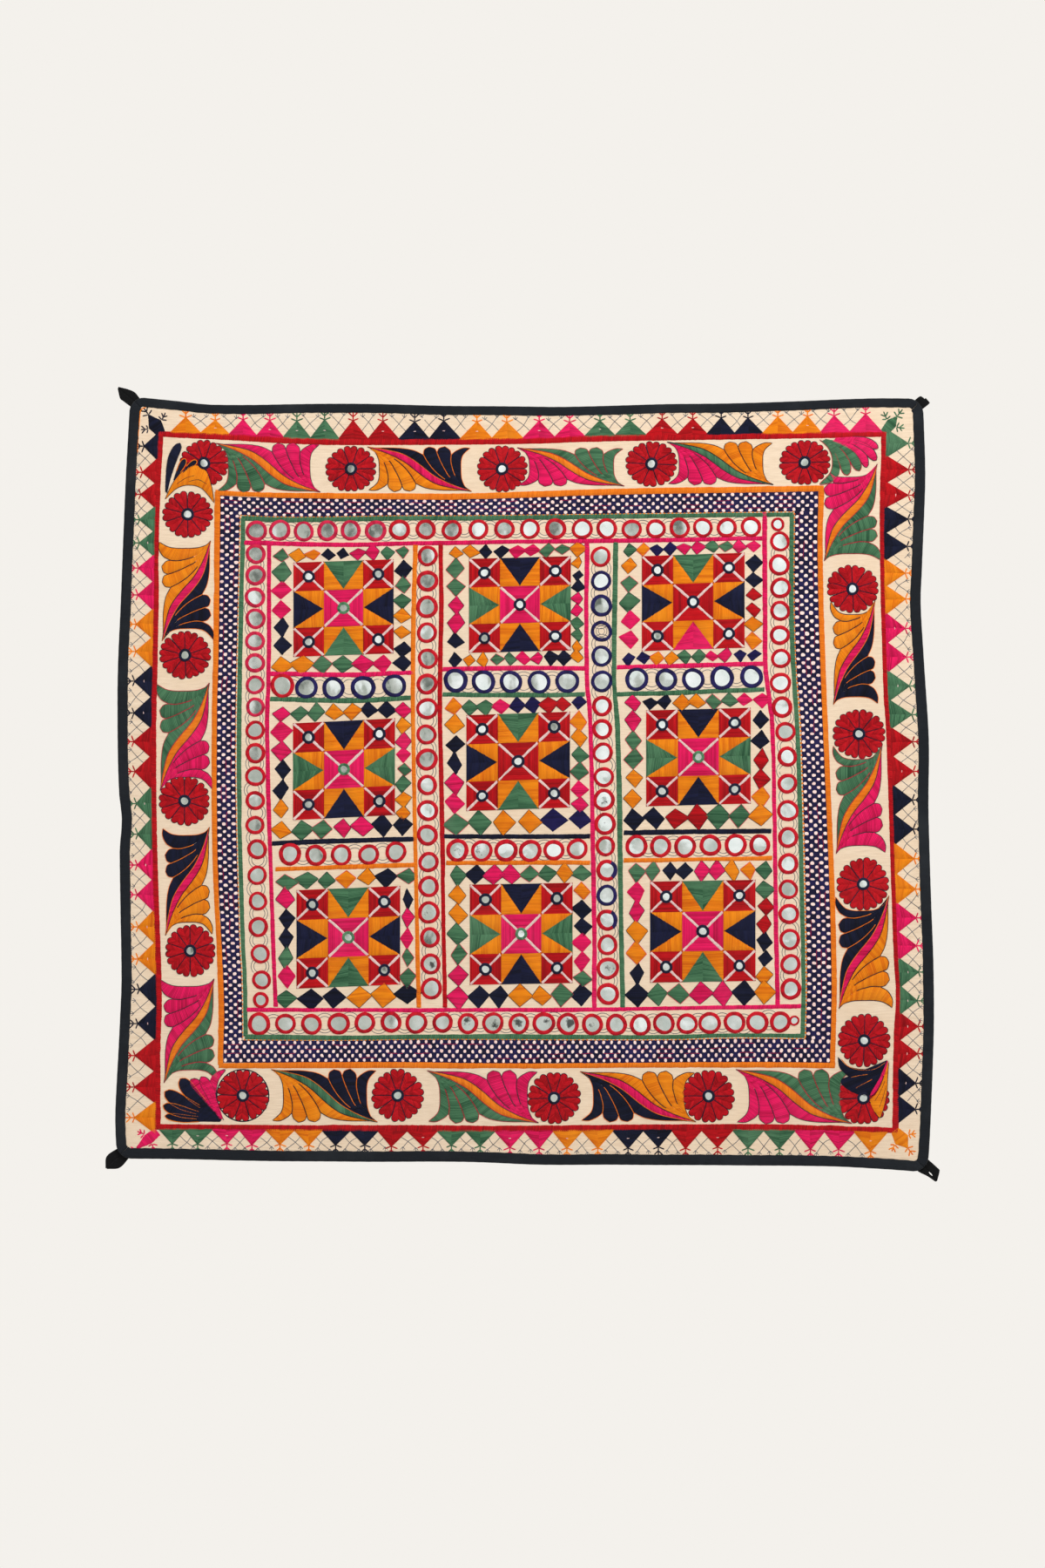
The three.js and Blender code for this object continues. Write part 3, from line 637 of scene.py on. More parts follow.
def strand(letter, start, end, width=1.3, rise=0.8, base=0.0):
    """One single stitch."""
    path = walk(np.array([start, end], float), [0, 0.2, 0.8, 1])
    half = width / 2 * np.array([0.4, 1, 1, 0.4])
    crown = base + (np.array([0, 1, 1, 0]) * rise - 0.1)
    # A low tone paints the stitch towards its shade colour: painted shade, which darkens a thin stitch.
    cord(letter, path, half, crown, base - 0.2, width, chance.uniform(0.15, 0.6))


def ink(path, width=0.75):
    """A pen line drawn on the cloth."""
    spots = np.stack([beside(path, -width / 2), beside(path, width / 2)], axis=1)
    pen.lay(spots, np.full((len(path), 2), PEN_LIFT), spots, chance.uniform(0.2, 0.9, (len(path), 1)))


def ring(letter, middle, inner, outer, sides=21, rise=1.45, base=0.0, first=0.0, last=2 * math.pi):
    """A mirror's stitched ring, its stitches lying across it."""
    angle = np.linspace(first, last, sides + 1)
    phase = chance.uniform(0, 6.3, 3)
    wobble = 0.05 * np.sin(2 * angle + phase[0]) + 0.03 * np.sin(3 * angle + phase[1])
    outside = outer * (1 + 0.3 * wobble + 0.012 * np.sin(7 * angle + phase[2]))
    inside = inner * (1 + wobble)
    radius = outside[:, None] + (inside - outside)[:, None] * np.array([0, 0.2, 0.7, 1])
    spots = np.asarray(middle, float) + radius[..., None] * pairs(np.cos(angle), np.sin(angle))[:, None]
    lift = base + np.broadcast_to(np.array([-0.25, rise * 0.8, rise, rise * 0.65]), radius.shape)
    run = pairs(outer - radius, (angle * outer)[:, None])
    spools[letter].lay(spots, lift, run, chance.uniform(0.2, 1.0, sides + 1)[:, None])


def mirror(middle, radius, spotted=0.0, base=0.0):
    """A small round looking glass, a little tilted and domed, with one blot as large as spotted says."""
    x, y = np.meshgrid(np.linspace(-1, 1, 7), np.linspace(-1, 1, 7))
    disc = pairs(x * np.sqrt(1 - y**2 / 2), y * np.sqrt(1 - x**2 / 2))
    offset = disc * radius
    tilt = np.clip(chance.normal(0, 0.018, 2), -0.04, 0.04)
    lift = base + MIRROR_LIFT + offset @ tilt - 0.012 * (disc**2).sum(axis=-1)
    blot = disc - chance.uniform(-0.3, 0.3, 2)
    lost = spotted * np.exp(-1.7 * (blot**2).sum(axis=-1))
    glass.lay(np.asarray(middle, float) + offset, lift, offset + chance.uniform(0, 400, 2), lost)


def diamond(letter, middle, across, down, edging):
    """A satin diamond with a thin edge."""
    x, y = middle
    across, down = 1.06 * across * chance.uniform(0.9, 1.14), 1.08 * down * chance.uniform(0.9, 1.1)
    lean = chance.uniform(-2, 2, 8)
    top, right = (x + lean[0], y - down + lean[1]), (x + across + lean[2], y + lean[3])
    bottom, left = (x + lean[4], y + down + lean[5]), (x - across + lean[6], y + lean[7])
    satin(letter, [top, left, bottom], [top, right, bottom], slant=chance.uniform(-0.04, 0.04))
    if edging:
        outline(edging, np.array([top, right, bottom, left, top], float), 0.7, 0.35, 2.2)


def triangle(letter, corner_a, corner_b, tip, slant=0.05, ragged=0.5):
    """A satin triangle with a seam from its tip to the middle of its base."""
    foot = (np.asarray(corner_a, float) + corner_b) / 2
    foot += (foot - tip) * slant
    for corner in (corner_a, corner_b):
        satin(letter, [corner, tip], [foot, tip], 1.6, ragged=(ragged, 0.3), slant=-slant, spill=0.9)


def blade(letter, spine, width, edging, base):
    """A leaf finger that widens from its root to a rounded end."""
    t = np.linspace(0, 1, 24)
    spine = walk(bend(spine), t)
    half = width / 2 * np.minimum(1, 0.2 + 1.2 * t) * np.sqrt(1 - np.clip((t - 0.78) / 0.22, 0, 1) ** 2)
    side_a, side_b = beside(spine, -half), beside(spine, half)
    satin(letter, side_a, side_b, rise=0.85, base=base, slant=0.02)
    outline(edging, np.vstack([side_a[9:], side_b[:8:-1]]), 1.0, 0.5 + base)


def leaf(start, end, threads, horn, upright, hollows):
    """Two feathered halves on either side of a ribbon."""
    start, end = np.array(start, float), np.array(end, float)
    middle, size = (start + end) / 2, np.abs(end - start)

    def spot(points, way=1):
        points = np.asarray(points, float) * way
        if upright:
            turned = pairs(-points[:, 1] * size[0] / LEAF_WIDTH, points[:, 0] * size[1] / LEAF_LENGTH)
            return middle + turned
        return middle + points * [size[0] / LEAF_LENGTH, size[1] / LEAF_WIDTH]

    flare = 1.0 if upright else LEVEL_FLARE
    for way, letter, depth in ((1, threads[0], hollows[0]), (-1, threads[2], hollows[1])):
        edging, thin = LEAF_EDGING[letter]
        lines = [spot(bend(points), way) for points in LEAF_LINES]
        short = horn < 1 and way == 1
        point = np.array(LEAF_HORN[0]) * [1, flare]
        point += (LEAF_STUB - point) * (1 - horn if short else 0)
        dip = [
            (LEAF_TIP[0] + (x - LEAF_TIP[0]) * depth, y * (flare if y > 0 else 1)) for x, y in LEAF_HOLLOW]
        hollow = spot(bend(dip[: 6 if short else 7] + [tuple(point)]), way)
        outside = [(x, y * flare) for x, y in LEAF_HORN[1:3]] + LEAF_HORN[3:]
        lower = spot(bend([tuple(point)] + outside[2 if short else 0 :]), way)
        satin(letter, hollow, np.vstack([lines[0], lower[::-1]]), rise=0.85)
        outline(edging, np.vstack([hollow, lower]), thin, 0.4)
        for first, second, (side_a, side_b) in zip(lines, lines[1:], LEAF_FINGERS):
            side_a, side_b = spot(bend(side_a), way), spot(bend(side_b), way)
            satin(letter, np.vstack([first, side_a]), np.vstack([second, side_b]), rise=0.85)
            outline(edging, np.vstack([side_a, side_b[::-1]]), thin, 0.4)
        tail = spot(bend(LEAF_TAIL), way)
        ribbon = spot(bend(LEAF_RIBBON), way)
        satin(letter, np.vstack([lines[2], tail]), ribbon, rise=0.85)
        outline(edging, tail, thin, 0.4)
        outline(edging, ribbon, thin, 0.75)
        for inner in lines:
            outline(edging, inner[len(inner) * 2 // 5 :], thin, 0.85)
    satin(threads[1], spot(bend(LEAF_RIBBON)), spot(bend(LEAF_RIBBON)[::-1], -1), rise=0.95, slant=0.015)


def flower(x, y, across, down, turn):
    """Heart-shaped petals around a small mirror."""
    reach = np.array([across, down]) / FLOWER_REACH
    lobe_radius, lobe_angle = np.array(PETAL_LOBE).T

    def spot(radius, angle):
        angle = np.radians(angle)
        return np.array([x, y]) + reach * radius[:, None] * pairs(np.cos(angle), np.sin(angle))

    for petal in range(PETALS):
        heading = 360 / PETALS * petal + turn + chance.uniform(-1.5, 1.5)
        size = chance.uniform(0.97, 1.02)
        seam = spot(size * PETAL_SEAM, heading)
        for way in (-1, 1):
            lobe = bend(spot(size * lobe_radius, heading + way * lobe_angle))
            satin("F", lobe, seam, rise=0.85, ragged=0.3, spill=0.6)
            outline("N", lobe[len(lobe) // 3 :], 1.1, 0.35)
        outline("N", spot(PETAL_GAP, heading + 180 / PETALS), 1.3, 0.75)
    ring("N", (x, y), FLOWER_HOLE, FLOWER_RING, 20, 1.3, 0.6)
    mirror((x, y), FLOWER_MIRROR, 0.04, 0.5)


# The stitched frames and lines
paths = {name: bend(points) for name, (_, _, points) in FRAMES.items()}
for name, (letter, width, _) in FRAMES.items():
    line(letter, paths[name], width)
for name, (letter, width, *lengths) in LEVELS.items():
    for column, points in enumerate(lengths):
        paths[name, column] = bend(points)
        line(letter, paths[name, column], width)


def axes(name):
    """The axis that a stitched line runs along, and the other one."""
    wide, tall = np.ptp(paths[name], axis=0)
    return (0, 1) if wide > tall else (1, 0)


def lies_at(name, at):
    """Where a stitched line lies at places along it: down for a level line, across for an upright one."""
    along, aside = axes(name)
    return np.interp(at, paths[name][:, along], paths[name][:, aside])


def line_spots(name, at, gap=0.0):
    """Spots at places along a stitched line, moved off it by gap."""
    spots = pairs(at, lies_at(name, at) + gap)
    return spots if axes(name)[0] == 0 else spots[..., ::-1]


def check_side(edge_a, edge_b, cell, across, turned):
    """One side of the check band, between its two long edges."""
    columns = round((path_length(edge_a) + path_length(edge_b)) / 2 / cell)
    steps = np.arange(columns + 1) / columns
    edge_a, edge_b = walk(edge_a, steps), walk(edge_b, steps)
    shares = np.arange(across + 1) / across
    grid = edge_a[:, None] + (edge_b - edge_a)[:, None] * shares[None, :, None]
    grid[1:-1, 1:-1] += np.clip(chance.normal(0, 0.4, grid[1:-1, 1:-1].shape), -0.9, 0.9)
    # A navy sheet under the cells, laid at a low tone: painted shade where it shows in the seams between
    # them.
    spools["B"].lay(grid, np.full(grid.shape[:2], CHECK_GROUND_LIFT), grid, 0.2)
    for row in range(1, across):
        for first in range(0, columns - 6, 7):
            if chance.uniform() < 0.45:
                outline("P", grid[first : first + 6, row], 0.7, 0.3, 3.0)
    for column in range(columns):
        for row in range(across):
            letter = "B" if (column + row + turned) % 2 else "W"
            check_pad(letter, grid[column : column + 2, row : row + 2])


def check_pad(letter, corners):
    """One plump cell of the check band. The pale ones are smaller and rounder."""
    size, corner, edge, dull, bright = CHECK_PADS[letter]
    middle = corners.mean(axis=(0, 1))
    size = size * chance.uniform(0.84, 1.08, 2)
    shares = np.array([0.0, 0.5, 1.0])
    rows = corners[0][None] + (corners[1] - corners[0])[None] * shares[:, None, None]
    spots = rows[:, :1] + (rows[:, 1:] - rows[:, :1]) * shares[None, :, None]
    pull = np.array([[corner, 1.0, corner], [1.0, 0.0, 1.0], [corner, 1.0, corner]])
    spots = middle + (spots - middle) * pull[..., None] * size
    side = edge + 0.12
    lift = np.array([[edge, side, edge], [side, 0.95, side], [edge, side, edge]])
    tone = chance.uniform(dull, bright)
    spools[letter].lay(spots, lift, spots + chance.uniform(0, 90, 2), tone)


for line_a, gap_a, line_b, gap_b, first, last, cell, across, turned in CHECK_SIDES:
    at = np.linspace(first, last, 60)
    check_side(line_spots(line_a, at, gap_a), line_spots(line_b, at, gap_b), cell, across, turned)
for name, reach, width in BEADS:
    way = BEAD_HALF * np.eye(2)[axes(name)[0]]
    steps = np.linspace(0, 1, round(path_length(paths[name]) / BEAD_GAP))
    for bead in walk(beside(paths[name], reach), steps):
        strand("O", bead - way, bead + way, width, 0.6, 0.3)


# Mirrors in the bands, and pen circles where their rings stand apart
def is_near(spot, goal, reach):
    return math.hypot(spot[0] - goal[0], spot[1] - goal[1]) < reach


def spotting(spot):
    """The size of a mirror's blot."""
    for x, y, amount in TARNISH:
        if is_near(spot, (x, y), TARNISH_REACH):
            return amount
    return chance.uniform(0.0, 0.12)


def band_mirror(spot, radius, letter):
    jitter = spot + chance.normal(0, 0.5, 2)
    inner = radius * chance.uniform(0.62, 0.68)
    if letter == "H":
        ring("M", jitter, inner, radius, 16, first=SPLIT_RING[0], last=SPLIT_RING[1])
        ring("B", jitter, inner, radius, 9, first=SPLIT_RING[1], last=SPLIT_RING[2])
    else:
        ring(letter, jitter, inner, radius)
    if is_near(spot, EMPTY_RING, EMPTY_REACH):
        for size, sides in EMPTY_CIRCLES:
            ink(circle(jitter, size, sides), 0.6)
    else:
        mirror(jitter, inner * 1.09, spotting(spot))


for places, radius, letters in MIRROR_ROWS:
    path = bend(places, 24)
    at = np.linspace(0, len(path) - 1, len(letters))
    spots = pairs(*(np.interp(at, np.arange(len(path)), column) for column in path.T))
    for spot, letter in zip(spots, letters):
        band_mirror(spot, radius * chance.uniform(0.95, 1.06), letter)
    for a, b in zip(spots, spots[1:]):
        if np.linalg.norm(b - a) > RINGS_APART * radius:
            drift = chance.normal(0, 1.2, 2)
            for size in PEN_CIRCLES:
                ink(circle((a + b) / 2 + drift, radius * size, 22))
for x, y, radius in ODD_MIRRORS:
    ring("M", (x, y), radius * 0.6, radius, 20)
    mirror((x, y), radius * 0.68, 0.05)


# Star blocks with their diamonds
def star_squares(spot, core, core_ring):
    """The four corner squares and the middle one, each crossed by white lines, with a mirror."""
    middle = (1 + STAR_CORE) / 2
    corner_half = (1 - STAR_CORE) / 2
    squares = [(a * middle, b * middle, corner_half, "R", "N") for a, b in SQUARE]
    for right, down, half, letter, ring_letter in squares + [(0, 0, STAR_CORE, core, core_ring)]:
        corners = [spot(right + a * half, down + b * half) for a, b in SQUARE]
        centre = spot(right, down)
        for a, b in zip(corners, corners[1:] + corners[:1]):
            satin(letter, [a, centre], [b, centre], rise=0.7, ragged=0.8, spill=0.8)
        for corner in corners:
            line("W", walk(np.stack([corner, centre]), [0.03, 0.5, 0.8]), 2.2, 1.5, 0.7, 0.55)
        small = STAR_RING * chance.uniform(0.95, 1.05)
        ring(ring_letter, centre, small * 0.57, small * 1.06, 20, 1.2, 0.6)
        mirror(centre, small * 0.64, 0.05, 0.5)


def star_points(spot, top, bottom, sides):
    """The four points, with orange on either side of each."""
    points = [
        ((0, -1), (1, 0), top), ((0, 1), (1, 0), bottom), ((-1, 0), (0, 1), sides), ((1, 0), (0, 1), sides)]
    for out, along, letter in points:
        out, along = np.array(out, float), np.array(along, float)
        feet = spot(*(out - along * STAR_CORE)), spot(*(out + along * STAR_CORE))
        tip = spot(*(out * (STAR_CORE + 0.02)))
        roots = spot(*((out - along) * STAR_CORE)), spot(*((out + along) * STAR_CORE))
        for foot, root in zip(feet, roots):
            satin("O", [foot, root], [foot, tip], ragged=0.9, spill=0.6)
        triangle(letter, *feet, tip, ragged=1.8)


def edging_for(letter):
    """The thread of a diamond's edge: none on dark ones, navy on red ones, navy or pink on the others."""
    drawn = "N" if chance.uniform() < 0.6 else "P"
    return {"N": None, "B": None, "R": "N"}.get(letter, drawn)


def star(row, left, upper, right, lower):
    """A star block, and the diamonds between it and the edges of its cell."""
    x, y, width, height, turn, threads, above, below, at_left, at_right = row
    top, bottom, sides, core, core_ring = threads
    fall = -math.tan(math.radians(turn))

    def spot(right, down):
        return np.array([x + right * width / 2, y + down * height / 2 + fall * right * width / 2])

    steps = np.linspace(-0.99, 0.99, 22)
    ground = np.array([[spot(across, down) for across in steps] for down in steps])
    # An orange layer under the block, laid at a low tone: painted shade where it shows in the seams between
    # patches.
    spools["O"].lay(ground, np.full(ground.shape[:2], STAR_GROUND_LIFT), ground, 0.3)
    star_squares(spot, core, core_ring)
    star_points(spot, top, bottom, sides)
    near_left, near_right = x - width / 2, x + width / 2
    near_top, near_bottom = y - height / 2, y + height / 2
    column = ((left + near_left) / 2, (right + near_right) / 2)
    level = ((upper + near_top) / 2, (lower + near_bottom) / 2)
    room = (0.45 * (near_left - left), 0.45 * (right - near_right))
    rise = (0.47 * (near_top - upper), 0.47 * (lower - near_bottom))
    for end, letters in enumerate((above, below)):
        gap = (column[1] - column[0]) / (len(letters) - 1)
        for number, letter in enumerate(letters):
            tilt = fall * (number - (len(letters) - 1) / 2) * gap
            at = (column[0] + gap * number, level[end] + tilt)
            diamond(letter, at, gap / 2, min(rise[end], DIAMOND_LIMITS[1]), edging_for(letter))
    for end, letters in enumerate((at_left, at_right)):
        gap = (level[1] - level[0]) / (len(letters) + 1)
        for number, letter in enumerate(letters):
            at = (column[end], level[0] + gap * (number + 1))
            diamond(letter, at, min(room[end], DIAMOND_LIMITS[0]), gap / 2, edging_for(letter))


for number, row in enumerate(STARS):
    x, y = row[:2]
    left, right = (lies_at(name, y) for name in CELL_UPRIGHTS[number % 3])
    levels = CELL_LEVELS[number // 3]
    upper, lower = (lies_at(name if name in paths else (name, number % 3), x) for name in levels)
    star(row, left + CELL_GAP, upper + CELL_GAP, right - CELL_GAP, lower - CELL_GAP)

# Flowers and leaves
for x, y, across, down in FLOWERS:
    straight = TURNED_FLOWERS[0] <= y <= TURNED_FLOWERS[1]
    flower(x, y, across, down, chance.uniform(-3, 3) + (0 if straight else 180 / PETALS))
for where, (hollows, rows) in LEAVES.items():
    for row in rows:
        leaf(*row, where != "level", hollows)
outline("N", circle(RIMMED_FLOWER, RIM_RADIUS, 60), 1.4, 0.35)
for letter, side_a, side_b, rise, base in CORNER_PATCHES:
    satin(letter, bend(side_a), bend(side_b), rise=rise, base=base)
for row in CORNER_FINGERS:
    blade(*row)
for letter, points, width, base in CORNER_LINES:
    outline(letter, bend(points), width, base)


# Border triangles with their sprouts, and the pen crosses between them
def sprout(letter, tip, out, size=1.0):
    """A crow's foot of small stitches at a triangle's tip."""
    side = square_to(out)
    for root, lean, reach in SPROUT:
        way = out * math.cos(lean) + side * math.sin(lean)
        start = tip + out * (root * size - 0.6)
        strand(letter, start, start + way * reach * size * chance.uniform(0.85, 1.15), 2.0)


def border(side):
    """Triangles along one side of the red frame."""
    out, share, places, letters = TRIANGLES[side]
    places = list(zip(np.linspace(0, 1, len(places)), places))
    tips = read_curve(places, np.linspace(0, 1, len(letters))) + chance.uniform(-2, 2, len(letters))
    between = (tips[1:] + tips[:-1]) / 2
    first_end, last_end = tips[0] - (between[0] - tips[0]), tips[-1] + (tips[-1] - between[-1])
    ends = np.concatenate([[first_end], between, [last_end]])
    out = np.array(out, float)
    across = square_to(out)

    def spot(at, reach):
        return line_spots("red_" + side, at) + out * reach

    def room(at):
        inner_edge = read_curve(EDGES[side], at) + INWARD[side] * BINDING_WIDTH[side]
        return abs(inner_edge - lies_at("red_" + side, at))

    for number, (tip, letter) in enumerate(zip(tips, letters)):
        tall = share * room(tip) * chance.uniform(0.95, 1.04)
        first, last = ends[number] - BORDER_OVERLAP, ends[number + 1] + BORDER_OVERLAP
        corner_a, corner_b, point = spot(first, BORDER_FOOT), spot(last, BORDER_FOOT), spot(tip, tall)
        triangle(letter, corner_a, corner_b, point, slant=0.07)
        outline(letter, np.stack([corner_a, point, corner_b]), 0.8, 0.3, 2.0)
        sprout(letter, point, out, 1.25)
        if chance.uniform() < 0.4:
            middle = spot(tip, tall * 0.5)
            strand("W", middle - across * 1.6, middle + across * 1.6, 0.9, 0.5, 0.6)
    for at in between:
        at = at + chance.uniform(-1, 1)
        for way in (-1, 1):
            far = spot(at + 7.5 * way + chance.uniform(-2, 2), 0.92 * room(at) + chance.uniform(-2, 1))
            bow = spot(at - way + chance.uniform(-1.5, 1.5), 0.6 * room(at) + chance.uniform(-2, 2))
            ink(bend([spot(at - 9 * way, 0.33 * room(at) + chance.uniform(-2, 2)), bow, far], 3))
            for lean in (-0.9, 0.0, 0.9):
                ink(np.stack([far - out, far + (across * math.sin(lean) + out * math.cos(lean)) * 3.4]))


for side in TRIANGLES:
    border(side)
for corner, tip, half, letter in CORNER_KITES:
    corner, tip = np.array(corner, float), np.array(tip, float)
    way = (tip - corner) / np.linalg.norm(tip - corner)
    across = square_to(way)
    sides = [
        [corner + across * KITE_FOOT * lean, corner + way * KITE_WAIST + across * half * lean, tip]
        for lean in (-1, 1)]
    satin(letter, *sides, ragged=0.6)
    sprout(letter, tip, way, 1.2)
    for lean, side in zip((-1, 1), sides):
        small = "S" if letter == "N" else letter
        sprout(small, side[1] + across * 1.5 * lean, 0.5 * way + 0.87 * lean * across)


# Materials
def dye(red, green, blue):
    """A colour given as red, green and blue from 0 to 255."""
    def straight(value):
        value /= 255
        return value / 12.92 if value <= 0.04045 else ((value + 0.055) / 1.055) ** 2.4

    return (straight(red), straight(green), straight(blue), 1.0)


def wire(tree, node, inputs):
    """Sets a node's inputs, each to a value or to another node's output."""
    for socket, value in inputs.items():
        if isinstance(value, bpy.types.NodeSocket):
            tree.links.new(value, node.inputs[socket])
        else:
            node.inputs[socket].default_value = value


def add(tree, kind, inputs=None, **settings):
    """Adds a node, with its settings and its inputs' values or links."""
    made = tree.nodes.new(kind)
    for name, value in settings.items():
        setattr(made, name, value)
    wire(tree, made, inputs or {})
    return made


def blend_colours(tree, share, first, second):
    """Mixes two colours; 0, 6 and 7 are the node's factor and its two colour sockets."""
    return add(tree, "ShaderNodeMix", {0: share, 6: first, 7: second}, data_type="RGBA").outputs[2]


def remap(tree, value, low, high, new_low=0.0, new_high=1.0):
    ends = {"From Min": low, "From Max": high, "To Min": new_low, "To Max": new_high}
    return add(tree, "ShaderNodeMapRange", {"Value": value, **ends}).outputs["Result"]


def noise(tree, at, scale, detail, roughness=0.5):
    settings = {"Vector": at, "Scale": scale, "Detail": detail, "Roughness": roughness}
    return add(tree, "ShaderNodeTexNoise", settings).outputs["Fac"]


def calculate(tree, operation, first, second):
    return add(tree, "ShaderNodeMath", {0: first, 1: second}, operation=operation).outputs[0]


def mapped(tree, at, inputs):
    return add(tree, "ShaderNodeMapping", {"Vector": at, **inputs}).outputs["Vector"]


def place_in(tree):
    """Where a point lies on its piece."""
    return add(tree, "ShaderNodeTexCoord").outputs["Object"]


def tone_in(tree):
    return add(tree, "ShaderNodeAttribute", attribute_name="tone").outputs["Fac"]


def relief(tree, strength, distance, height):
    inputs = {"Strength": strength, "Distance": distance, "Height": height}
    return add(tree, "ShaderNodeBump", inputs).outputs["Normal"]


def new_effect(name):
    """A node group that makes colour, roughness and height from a dye, a colour of painted shade and a worn
    colour.
    """
    tree = bpy.data.node_groups.new(name, "ShaderNodeTree")
    for label in ("Dye", "Shadow", "Worn"):
        tree.interface.new_socket(label, in_out="INPUT", socket_type="NodeSocketColor")
    for label, kind in (("Color", "Color"), ("Roughness", "Float"), ("Height", "Float")):
        tree.interface.new_socket(label, in_out="OUTPUT", socket_type="NodeSocket" + kind)
    return tree, tree.nodes.new("NodeGroupInput").outputs, tree.nodes.new("NodeGroupOutput")


def floss_effect():
    """Spun floss: fibres and twist along each stitch, stitches of slightly different tone, and fading. Low
    tones are painted towards the shadow colour, painted shade in the hollows and on dark stitches, and the
    tone bands are partly painted sheen.
    """
    tree, given, result = new_effect("spun floss")
    along = add(tree, "ShaderNodeUVMap", uv_map="Stitch").outputs["UV"]
    fibre = noise(tree, mapped(tree, along, {"Scale": (0.22, 2.6, 1.0)}), 1.0, 3.0, 0.6)
    turned = mapped(tree, along, {"Rotation": (0, 0, 0.6)})
    turns = {"Vector": turned, "Scale": 0.42, "Distortion": 1.2, "Detail": 1.0}
    twist = add(tree, "ShaderNodeTexWave", turns).outputs["Fac"]
    wear = noise(tree, place_in(tree), 14.0, 4.0, 0.65)
    light = calculate(tree, "ADD", tone_in(tree), fibre)
    # Tone and fibres blend the dye towards the shadow colour: painted shade where they are low.
    body = blend_colours(tree, remap(tree, light, 0.55, 1.3), given["Shadow"], given["Dye"])
    wire(tree, result, {
        "Color": blend_colours(tree, remap(tree, wear, 0.5, 0.85, 0.0, 0.5), body, given["Worn"]),
        "Roughness": remap(tree, fibre, 0.3, 0.7, 0.5, 0.78),
        "Height": calculate(tree, "ADD", fibre, twist),
    })
    return tree


def weave_effect():
    """Plain cotton weave with slubs and soiling; its colour is painted towards the shadow colour in the
    hollows between the yarns, and varies unevenly along the slubs.
    """
    tree, given, result = new_effect("plain weave")
    spot = place_in(tree)
    yarn = {"Vector": spot, "Scale": 420.0, "Distortion": 2.0, "Detail Scale": 0.4}
    weft, warp = (add(tree, "ShaderNodeTexWave", yarn, bands_direction=way).outputs["Fac"] for way in "ZX")
    slub = noise(tree, mapped(tree, spot, {"Scale": (60.0, 60.0, 700.0)}), 1.0, 3.0)
    cloud = noise(tree, spot, 9.0, 5.0, 0.65)
    grain = calculate(tree, "ADD", calculate(tree, "MULTIPLY", weft, warp), slub)
    # Painted shade in the weave's hollows, partly the yarn's own uneven slubs: low grain blends the dye
    # towards the shadow colour.
    body = blend_colours(tree, remap(tree, grain, 0.35, 1.1), given["Shadow"], given["Dye"])
    wire(tree, result, {
        "Color": blend_colours(tree, remap(tree, cloud, 0.5, 0.8, 0.0, 0.75), body, given["Worn"]),
        "Roughness": remap(tree, slub, 0.3, 0.7, 0.8, 0.96),
        "Height": grain,
    })
    return tree


def new_material(name):
    material = bpy.data.materials.new(name)
    material.use_nodes = True
    return material, material.node_tree, material.node_tree.nodes["Principled BSDF"]


def finish_from(name, effect, dyes_and_shade, bump, sheen, specular):
    """A material whose colour, roughness and bump come from one of the effects."""
    material, tree, shader = new_material(name)
    # The second colour, Shadow, is painted shade that the effect blends in where the surface is low.
    colours = {label: dye(*mix) for label, mix in zip(("Dye", "Shadow", "Worn"), dyes_and_shade)}
    worked = add(tree, "ShaderNodeGroup", colours, node_tree=effect).outputs
    wire(tree, shader, {
        "Base Color": worked["Color"],
        "Roughness": worked["Roughness"],
        "Normal": relief(tree, bump, 0.0004, worked["Height"]),
        "Sheen Weight": sheen,
        "Sheen Roughness": 0.4,
        "Specular IOR Level": specular,
    })
    return material


def silvered_glass():
    """Old hand-cut looking glass: a slightly wavy face, dull patches, blots where the silver has gone."""
    material, tree, shader = new_material("silvered glass")
    spot = place_in(tree)
    edge = remap(tree, tone_in(tree), 0.0, 1.0, 0.78, 0.24)
    over = calculate(tree, "SUBTRACT", noise(tree, spot, 120.0, 4.0, 0.6), edge)
    lost = remap(tree, over, -0.03, 0.12, 0.0, 0.88)
    haze = noise(tree, spot, 60.0, 3.0)
    tint = blend_colours(tree, remap(tree, haze, 0.3, 0.7), dye(220, 227, 223), dye(252, 254, 253))
    wire(tree, shader, {
        "Metallic": 1.0,
        "Base Color": blend_colours(tree, lost, tint, dye(46, 48, 47)),
        "Roughness": remap(tree, haze, 0.3, 0.7, 0.05, 0.2),
        "Normal": relief(tree, 0.35, 0.0006, noise(tree, spot, 90.0, 1.0)),
    })
    return material


def pen_ink():
    """Thin grey ink that has faded unevenly."""
    material, tree, shader = new_material("pen ink")
    worn = noise(tree, place_in(tree), 160.0, 3.0)
    faded = remap(tree, worn, 0.35, 0.65)
    wire(tree, shader, {
        "Base Color": blend_colours(tree, faded, dye(46, 54, 68), dye(112, 112, 114)),
        "Roughness": remap(tree, worn, 0.3, 0.7, 0.8, 0.95),
    })
    return material


floss = floss_effect()
weave = weave_effect()
ground_cotton = finish_from(
    "ground cotton", weave, [(244, 225, 201), (212, 186, 156), (226, 198, 166)], 0.45, 0.1, 0.1)
binding_cotton = finish_from(
    "binding cotton", weave, [(33, 37, 43), (18, 21, 25), (46, 50, 54)], 0.45, 0.1, 0.14)
loop_tape = finish_from("loop tape", weave, [(18, 19, 20), (8, 8, 9), (28, 28, 28)], 0.6, 0.1, 0.14)


# Pieces
def linked(name, data):
    made = bpy.data.objects.new(name, data)
    bpy.context.scene.collection.objects.link(made)
    return made


